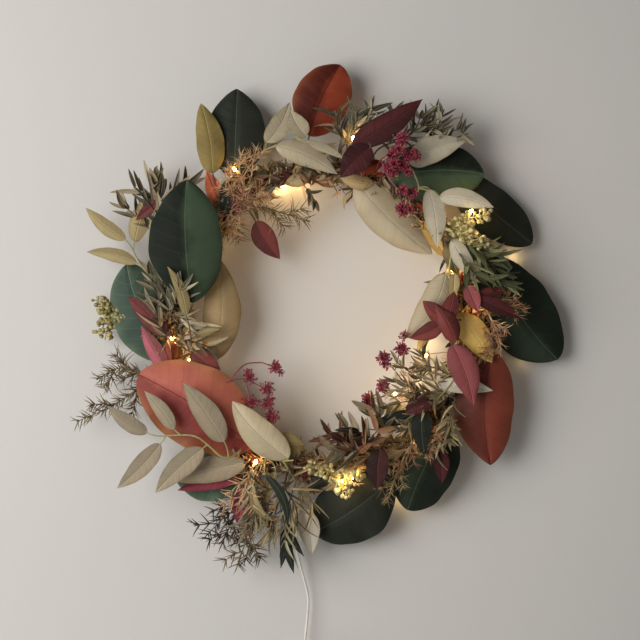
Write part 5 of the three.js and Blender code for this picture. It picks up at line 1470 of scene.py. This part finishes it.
# Berries
berry = dict(sizes=[0.52, 0.8], foot=0.2, tip=0.16, rings=7, corners=8, stalk=0.45)


def addBerries(build, leaves, rule, random):
    # Round fruit on stalks: radius * sin, stretched at the tip
    root, along, across, face, reach = leafFrames(leaves)
    count = len(leaves)
    radius = rule["radius"] * random.uniform(*berry["sizes"], (count, 1, 1))
    turn = np.linspace(berry["foot"], np.pi - berry["tip"], berry["rings"])
    x, y = np.cos(turn)[None, :, None], np.sin(turn)[None, :, None]
    middle = reach * (1 - rule["radius"] / rule["length"])
    way = np.concatenate([np.zeros((count, 1, 1)), middle - radius * x], 1)
    size = np.concatenate([np.full((count, 1, 1), berry["stalk"]), radius * y], 1)
    angle = (np.arange(berry["corners"]) * 2 * np.pi / berry["corners"])[None, None]
    rings = root + along * way[..., None] + across * (size * np.cos(angle))[..., None]
    rings = rings - face * (size * np.sin(angle))[..., None]
    share = np.concatenate([[0], turn / np.pi])[None, :, None]
    spot = np.stack(np.broadcast_arrays(share, 0.0, 0.0, size * angle)[:3], -1)
    build.add(rings, spot, 1.0, random.uniform(0, 1, count))


berryBunches = dict(
    berries_left=dict(
        colour="berry", slot="berry", whorls=2, length=12, radius=3.1, first=0.5, seed=11,
        stems=[
            [197, [-190, 2, 20], [-214, 12, 20], [-224, 22, 20]],
            [[-190, 2, 20], [-214, -2, 20], [-223, -14, 20]],
            [197, [-190, 2, 20], [-212, 8, 24], [-222, 6, 24]],
            [199, [-190, 0, 20], [-212, -4, 24], [-216, -20, 22]],
        ],
    ),
    berries_right=dict(
        colour="berryLamplit", slot="berry", whorls=3, length=13, radius=3.1, first=0.3, seed=13,
        stems=[
            [37, [132, 92, 50], [148, 100, 56], [168, 104, 56]],
            [[132, 92, 50], [142, 84, 56], [162, 74, 54]],
        ],
    ),
    berries_bottom=dict(
        colour="berryLamplit", slot="berry", whorls=2, length=12, radius=3.1, first=0.4, seed=16,
        stems=[
            [-84, [12, -150, 52], [-4, -146, 56], [-12, -142, 56]],
            [[12, -150, 52], [28, -156, 58], [40, -150, 58]],
            [[12, -150, 52], [20, -166, 56], [28, -172, 54]],
        ],
    ),
)


def makeBerries(name, bunch, random):
    rule = dict(dict(lean=62, flat=0.85, shoots=0, fill=11), **bunch)
    leaves, ways = sprayLeaves(rule["stems"], rule, random)
    build = Build()
    addStems(build, ways, 1)
    addBerries(build, leaves, rule, random)
    build.finish(name + "_fine", [rule["colour"], "greenStem"], rule["slot"], name)


# Seed heads: rays is how many stand in each of a head's three balls
ray = dict(
    share=[0, 0.62, 0.74, 0.86, 0.96, 1.0], size=[0.25, 0.28, 0.65, 0.85, 0.6, 0.2], corners=6,
    uneven=0.12, lengths=[0.4, 1.0], sizes=[0.8, 1.2], reach=[8.6, 8, 7], spread=4.5,
    cover=1.9, level=[0.31, 0.2, 0.93], stem=[0.9, 0.7, 0.6], stalk=[0.6, 0.5],
)


def addSeedHead(build, centre, random, rays, reach):
    # Rays to all sides of the head's stalk, each with a small bead at its end
    turn = np.pi * (1 + 5**0.5) * np.arange(rays)
    height = 1 - ray["cover"] * (np.arange(rays) + 0.5) / rays
    flat = np.sqrt(1 - height**2)
    along = np.stack([flat * np.cos(turn), height, flat * np.sin(turn)], -1)
    along = unit(along + random.normal(0, ray["uneven"], (rays, 3)))
    across = square(np.broadcast_to(ray["level"], along.shape), along)
    length = reach * random.uniform(*ray["lengths"], (rays, 1, 1))
    s = np.array(ray["share"])[None, :, None]
    size = np.array(ray["size"])[None, :, None] * random.uniform(*ray["sizes"], (rays, 1, 1))
    line = centre + along[:, None] * (length * s)
    wide = np.broadcast_to(along[:, None], line.shape)
    level = np.broadcast_to(across[:, None], line.shape)
    rings = around(line, wide, level, size[..., 0], ray["corners"])
    build.add(rings, tone=random.uniform(0, 1, rays))


seedHeads = dict(
    seed_heads_top=dict(
        slot="leaf_crimson", rays=[64, 50, 40],
        stems=[
            [68, [60, 158, 52], [78, 166, 64], [84, 160, 66]],
            [[60, 158, 52], [66, 142, 62], [78, 126, 66]],
        ],
        heads=[
            [[78, 166, 64], [80, 176, 68]],
            [[84, 160, 66], [90, 162, 68]],
            [[78, 166, 64], [70, 161, 70]],
            [[84, 160, 66], [81, 151, 70]],
            [[66, 142, 62], [68, 148, 68]],
            [[78, 126, 66], [90, 124, 68]],
            [[78, 126, 66], [80, 109, 66]],
        ],
    ),
    seed_heads_left=dict(
        slot="leaf_crimson", rays=[34, 24, 16],
        stems=[
            [212, [-100, -70, 46], [-90, -60, 50], [-74, -58, 50]],
            [[-90, -60, 50], [-74, -44, 48], [-58, -42, 46]],
        ],
        heads=[
            [[-58, -42, 46], [-44, -47, 44]],
            [[-74, -58, 50], [-69, -57, 52]],
            [[-74, -58, 50], [-54, -68, 50]],
            [[-74, -58, 50], [-68, -82, 52]],
            [[-54, -68, 50], [-50, -80, 50]],
            [[-50, -80, 50], [-49, -94, 48]],
        ],
    ),
    seed_heads_right=dict(
        slot="leaf_crimson", rays=[52, 40, 30],
        stems=[
            [-36, [98, -72, 46], [82, -60, 48], [74, -50, 48]],
            [[98, -72, 46], [72, -76, 48], [60, -70, 48]],
        ],
        heads=[
            [[74, -50, 48], [62, -36, 46]],
            [[74, -50, 48], [80, -28, 46]],
            [[60, -70, 48], [47, -80, 46]],
            [[60, -70, 48], [62, -64, 50]],
        ],
    ),
)


def makeSeedHeads(name, bunch, random):
    # Three balls of rays in each head, the second and third a little aside
    build = Build()
    for stem in bunch["stems"]:
        addStalk(build, Way(stemPath(stem)), ray["stem"], 1, rings=24)
    for head in bunch["heads"]:
        joint, centre = place(head)
        addStalk(build, Way([joint, centre]), ray["stalk"], 1, rings=6)
        for number, (rays, reach) in enumerate(zip(bunch["rays"], ray["reach"])):
            aside = random.normal(0, ray["spread"], 3) if number else 0
            addSeedHead(build, centre + aside, random, rays, reach)
    build.finish(name + "_fine", ["seedHead", "redStem"], bunch["slot"], name)


# Small growth that covers the ring: short twigs of needles and of narrow leaves all round it,
# and small broad leaves among them. Reach is a twig's length and length a leaf's; each is the
# number of leaves to a twig, and of small leaves to a colour.
growth = dict(
    needles=dict(
        colour="twigBeige", slot="needle_beige", twigs=130, reach=26, each=16, length=14,
        lean=46, flat=0.9, thick=0.65,
    ),
    green=dict(
        colour="narrowGreen", slot="narrow_leaf_green", twigs=80, reach=30, each=8, length=25,
        lean=36, flat=0.7, width=6.2,
    ),
    olive=dict(
        colour="narrowOlive", slot="narrow_leaf_olive", twigs=70, reach=30, each=8, length=23,
        lean=38, flat=0.7, width=5.6,
    ),
    brown=dict(
        colour="narrowBrown", slot="narrow_leaf_brown", twigs=50, reach=30, each=8, length=24,
        lean=38, flat=0.7, width=6,
    ),
)
growthTwig = dict(
    rise=[6, 34], spread=9, tipSpread=1.4, bulge=0.5, arch=0.75, turn=3, core=4, perDegree=2.6,
    radii=[0.7, 0.4], start=0.15, rough=18,
)
smallLeaves = dict(
    each=13, length=[24, 38], width=[11, 17], rise=[8, 26], rows=16, columns=6, turn=3, core=5,
    swing=35, tilt=[-4, 6], bow=[-3, 3], arch=3, cup=-2, wave=[0, 2], stalk=[0.8, 0.5],
    slot="leaf_deep_green", colours=["deepGreen", "burgundy", "olive", "redBrown", "tan"],
)


def makeGrowth(kind, rule, random):
    twig = growthTwig
    spread = twig["spread"]
    build = Build()
    gathered = []
    even = np.linspace(0, 360, rule["twigs"], endpoint=False)
    for angle in even + random.uniform(-twig["turn"], twig["turn"], rule["twigs"]):
        rise = random.uniform(*twig["rise"])
        core = onRing(angle, random.uniform(-twig["core"], twig["core"]))
        swing = angle + random.choice([-1, 1]) * rule["reach"] / twig["perDegree"]
        tip = onRing(swing, random.normal(0, 1) * spread * twig["tipSpread"], ringOut + rise)
        bulge = random.normal(0, twig["bulge"]) * spread
        middle = onRing((angle + swing) / 2, bulge, ringOut + twig["arch"] * rise)
        way = bezier(*place([core, middle, tip]), samples=12)
        addStalk(build, way, twig["radii"], 1, 5, 6)
        gathered.append(between(way, twig["start"], rule["each"], rule, random, twig["rough"]))
    leaves = np.concatenate(gathered)
    needled = "thick" in rule
    if needled:
        addNeedles(build, leaves, rule["thick"], random)
    else:
        addNarrowLeaves(build, leaves, rule["width"], random)
    sharp = 180 if needled else narrowBlade["sharp"]
    build.finish(f"ring_growth_{kind}", [rule["colour"], "darkStem"], rule["slot"], sharp=sharp)


def makeSmallLeaves(random):
    # Each starts at the ring and runs along it, turned a little in or out
    rule = smallLeaves
    build = Build()
    colours = rule["colours"]
    many = rule["each"] * len(colours)
    for number in range(many):
        angle = 360 * number / many + random.uniform(-rule["turn"], rule["turn"])
        aside = random.uniform(-rule["core"], rule["core"])
        foot = onRing(angle, aside, ringOut + random.uniform(*rule["rise"]))
        heading = angle + random.choice([-1, 1]) * 90
        heading = np.radians(heading + random.uniform(-rule["swing"], rule["swing"]))
        reach = random.uniform(*rule["length"])
        way = [reach * np.cos(heading), reach * np.sin(heading), random.uniform(*rule["tilt"])]
        leaf = dict(foot=foot, tip=foot + way, arch=rule["arch"], cup=rule["cup"], shape=longLeaf)
        for key in ("width", "bow", "wave"):
            leaf[key] = random.uniform(*rule[key])
        core = onRing(angle)
        way = bezier(*place([core, 0.5 * core + 0.5 * foot, foot]), samples=8)
        addStalk(build, way, rule["stalk"], len(colours), 5, 5)
        addBlade(build, leaf, rule["rows"], rule["columns"], random, number * 7 % len(colours))
    colours = [*colours, "darkStem"]
    build.finish("ring_growth_leaves", colours, rule["slot"], sharp=blade["sharp"])


# The ring: three twisted vines, each with a thin twig round it. A twig is its twists, its
# radius and its first turn.
vines = dict(
    strands=3, twists=4, steps=360, corners=14, uneven=0.06, knots=0.35, twigOut=7.4,
    twigs=[[6, 0.9, 0.4], [-4, 0.7, 2.1], [8, 0.6, 4.0]], twigCorners=8,
)


def strandLine(twists, turn, first, offset):
    twist = twists * turn + first
    out = ringOut + offset * np.sin(twist)
    return place(onRing(np.degrees(turn), offset * np.cos(twist), out))


def makeVines():
    # Rough bark as two sines multiplied, with knots at uneven places along each strand
    turn = np.linspace(0, 2 * np.pi, vines["steps"], endpoint=False)
    angle = np.arange(vines["corners"]) * 2 * np.pi / vines["corners"]
    level = np.stack([np.cos(turn), np.zeros_like(turn), np.sin(turn)], -1)
    for number in range(vines["strands"]):
        first = 2 * np.pi * number / vines["strands"]
        line = strandLine(vines["twists"], turn, first, ring["strandOffset"])
        radius = ring["strandRadius"] * (1 - vines["uneven"] * np.sin(5 * turn + 2 * number))
        rings = around(line, loopAlong(line), level, radius, vines["corners"])
        rough = np.sin(3 * angle + 9 * turn[:, None]) * np.sin(41 * turn[:, None] + 2 * angle)
        knots = np.exp(-((np.mod(turn * 7 + number, 1.3) - 0.6) / 0.08) ** 2)[:, None]
        swell = vines["knots"] * (0.5 * rough + knots * (1 + 0.4 * np.sin(angle))) - 0.25
        rings = rings + unit(rings - line[:, None]) * swell[..., None]
        build = Build()
        build.add(rings, closed=True, tone=0.2 + 0.3 * number)
        twists, size, first = vines["twigs"][number]
        thin = strandLine(twists, turn, first, vines["twigOut"])
        radius = size * (1 + 0.2 * np.sin(17 * turn))
        twig = around(thin, loopAlong(thin), level, radius, vines["twigCorners"])
        build.add(twig, closed=True, tone=0.8)
        name = f"vine_strand_{number + 1}"
        build.finish(name + "_fine", ["bark"], "vine", name)


# The light string, with its lamps' places. A wrap is a share of the way to the next lamp, with
# degrees about the vines; lamps less than near degrees apart take the short wraps.
lamps = [
    [146, 4, 46], [133, 50, 38], [150, 108, 42], [118, 104, 30], [70, 146, 30], [33, 180, 44],
    [-24, 139, 30], [-43, 137, 30], [-85, 150, 40], [-118, 84, 30], [-147, -18, 40],
    [-129, -40, 42], [-104, -104, 30], [-64, -141, 44], [14, -159, 44], [32, -155, 46],
    [98, -122, 40], [83, -88, 42], [75, -74, 40], [105, -35, 42],
]
lightString = dict(
    wireRadius=0.35, wrapRadius=13, lampRadius=1.8, lampLength=5, longer=1.1, lampRings=9, near=22,
    wraps=[[0.18, 45], [0.4, -45], [0.6, -135], [0.82, 135]], nearWraps=[[0.35, 75], [0.65, 105]],
    steps=6, softened=2, corners=6, lampCorners=10,
)


def makeLightString():
    # Out to each lamp, and round the back of the ring on the long ways between them
    rule = lightString
    centre = place([0, 0, ringOut])
    spots = place(lamps)
    angles = np.arctan2(spots[:, 2] - centre[2], spots[:, 0] - centre[0])
    share = np.linspace(0, 1, rule["lampRings"])
    radii = rule["lampRadius"] * np.sqrt(np.maximum(1 - (2 * share - 1) ** 2, 0.02))
    route = []
    build = Build()
    for i, lamp in enumerate(spots):
        turn = (angles[(i + 1) % len(spots)] - angles[i] + 4 * np.pi) % (2 * np.pi)
        inward = unit((centre - lamp) * [1, 0, 1]) * rule["lampLength"] / 2
        route += [lamp - inward, lamp, lamp + inward]
        near = turn < np.radians(rule["near"])
        for portion, degrees in rule["nearWraps" if near else "wraps"]:
            wrap = np.radians(degrees)
            offset = rule["wrapRadius"] * np.cos(wrap)
            out = ringOut + rule["wrapRadius"] * np.sin(wrap)
            route.append(place(onRing(np.degrees(angles[i] + portion * turn), offset, out)))
        bead = Way([lamp - rule["longer"] * inward, lamp + rule["longer"] * inward])
        build.add(bar(bead, radii, rule["lampCorners"], rule["lampRings"]), slot=1)
    share = np.linspace(0, len(route), len(route) * rule["steps"], endpoint=False)
    whole = np.array([*route, route[0]])
    line = np.stack([np.interp(share, np.arange(len(whole)), whole[:, k]) for k in range(3)], -1)
    for step in range(rule["softened"]):
        line = (np.roll(line, 1, 0) + 2 * line + np.roll(line, -1, 0)) / 4
    level = unit(line - centre) * [1, 0.3, 1] + [0, 0.35, 0]
    radius = np.full(len(line), rule["wireRadius"])
    build.add(around(line, loopAlong(line), level, radius, rule["corners"]), closed=True)
    build.finish("light_string_fine", ["copperWire", "lamp"], "light_wire", "light_string")


def makeAll(make, table, firstSeed):
    for number, (name, rule) in enumerate(table.items()):
        make(name, rule, np.random.default_rng(firstSeed + number))


makeVines()
makeLightString()
print("ring made")
makeAll(makeBigLeaf, bigLeaves, seeds["bigLeaves"])
makeAll(makeLeafySprig, leafySprigs, seeds["leafySprigs"])
print("leaves made")
makeAll(makeNarrowSprig, narrowSprigs, seeds["narrowSprigs"])
makeAll(makeNeedleTwig, needleTwigs, seeds["needleTwigs"])
makeAll(makeBerries, berryBunches, seeds["berryBunches"])
makeAll(makeSeedHeads, seedHeads, seeds["seedHeads"])
print("sprays made")
makeAll(makeGrowth, growth, seeds["growth"])
makeSmallLeaves(np.random.default_rng(seeds["smallLeaves"]))
print("growth made")


# Stage, in metres: a pale wall and floor; the wall shows only its front
stage = dict(side=2, back=0.016, front=-3, bottom=-1.2, top=1.6, colours=["#cccac7", "#d0cecb"])


def makeStage():
    wall = Graph("wall")
    cloud = wall.noise(3.0, 4.0)
    shade = wall.mix(cloud, *(linear(colour) for colour in stage["colours"]))
    face = wall.node("BsdfPrincipled", {}, {"Base Color": shade, "Roughness": 0.9})
    clear = wall.node("BsdfTransparent")
    back = wall.out(wall.node("NewGeometry"), "Backfacing")
    both = wall.node("MixShader", {}, {0: back, 1: wall.out(face), 2: wall.out(clear)})
    wall.node("OutputMaterial", {}, dict(Surface=wall.out(both)))
    side, deep, low = stage["side"], stage["back"], stage["bottom"]
    foot = [(-side, deep, low), (side, deep, low)]
    sheets = dict(
        wall=[*foot, (side, deep, stage["top"]), (-side, deep, stage["top"])],
        floor=[(-side, stage["front"], low), (side, stage["front"], low), *foot[::-1]],
    )
    for name, corners in sheets.items():
        mesh = bpy.data.meshes.new(name)
        mesh.from_pydata(corners, [], [(0, 1, 2, 3)])
        mesh.materials.append(wall.material)
        addObject(name, mesh)


# Lights: a large soft lamp at the left and a weak one at the right, at places in metres.
# Each small lamp glows, and the wall glows where one shines from behind the leaves: a place
# as [right, up, out], then watts.
studio = dict(
    key=dict(at=(-1.2, -1.25, 0.02), size=1.5, power=31, colour=(1.0, 0.983, 0.95)),
    fill=dict(at=(1.3, -2.2, 0.2), size=1.6, power=0.8, colour=(1.0, 0.97, 0.92)),
)
studioAim = (0, 0, -0.142)
daylight = dict(colour=(1.0, 0.97, 0.93, 1), strength=0.15)
glow = dict(power=0.014, colour=(1.0, 0.68, 0.3), size=0.003, before=3)
wallGlows = [
    [-40, 137, 6, 0.018], [-20, 141, 8, 0.011], [-112, 96, 6, 0.012], [112, 84, 6, 0.012],
    [196, 64, 5, 0.004], [140, 40, 8, 0.01], [205, -44, 5, 0.001], [112, -24, 8, 0.007],
    [88, -176, 5, 0.015], [100, -64, 8, 0.006], [22, -158, 56, 0.02], [34, -152, 56, 0.012],
    [-132, -34, 14, 0.01], [-150, 20, 6, 0.007], [150, -88, 6, 0.006], [10, 10, 150, 0.08],
    [148, 104, 56, 0.008], [158, 82, 56, 0.006],
]


def addLight(name, kind, power, colour):
    data = bpy.data.lights.new(name, kind)
    data.energy = power
    data.color = colour
    return data, addObject(name, data)


def makeLights():
    for name, lamp in studio.items():
        data, light = addLight(name, "AREA", lamp["power"], lamp["colour"])
        data.shape = "DISK"
        data.size = lamp["size"]
        light.location = lamp["at"]
        aim = Vector(studioAim) - Vector(lamp["at"])
        light.rotation_euler = aim.to_track_quat("-Z", "Y").to_euler()
    glows = [[*spot, glow["power"]] for spot in lamps] + wallGlows
    for number, (right, up, out, power) in enumerate(glows):
        data, light = addLight(f"glow_{number}", "POINT", power, glow["colour"])
        data.shadow_soft_size = glow["size"]
        light.location = place([right, up, out + glow["before"]]) / 1000
    world = bpy.data.worlds.new("studio")
    world.use_nodes = True
    sky = world.node_tree.nodes["Background"].inputs
    sky["Color"].default_value = daylight["colour"]
    sky["Strength"].default_value = daylight["strength"]
    bpy.context.scene.world = world
    bpy.context.scene.view_settings.view_transform = "Standard"


makeStage()
makeLights()
print("stage and lights made")
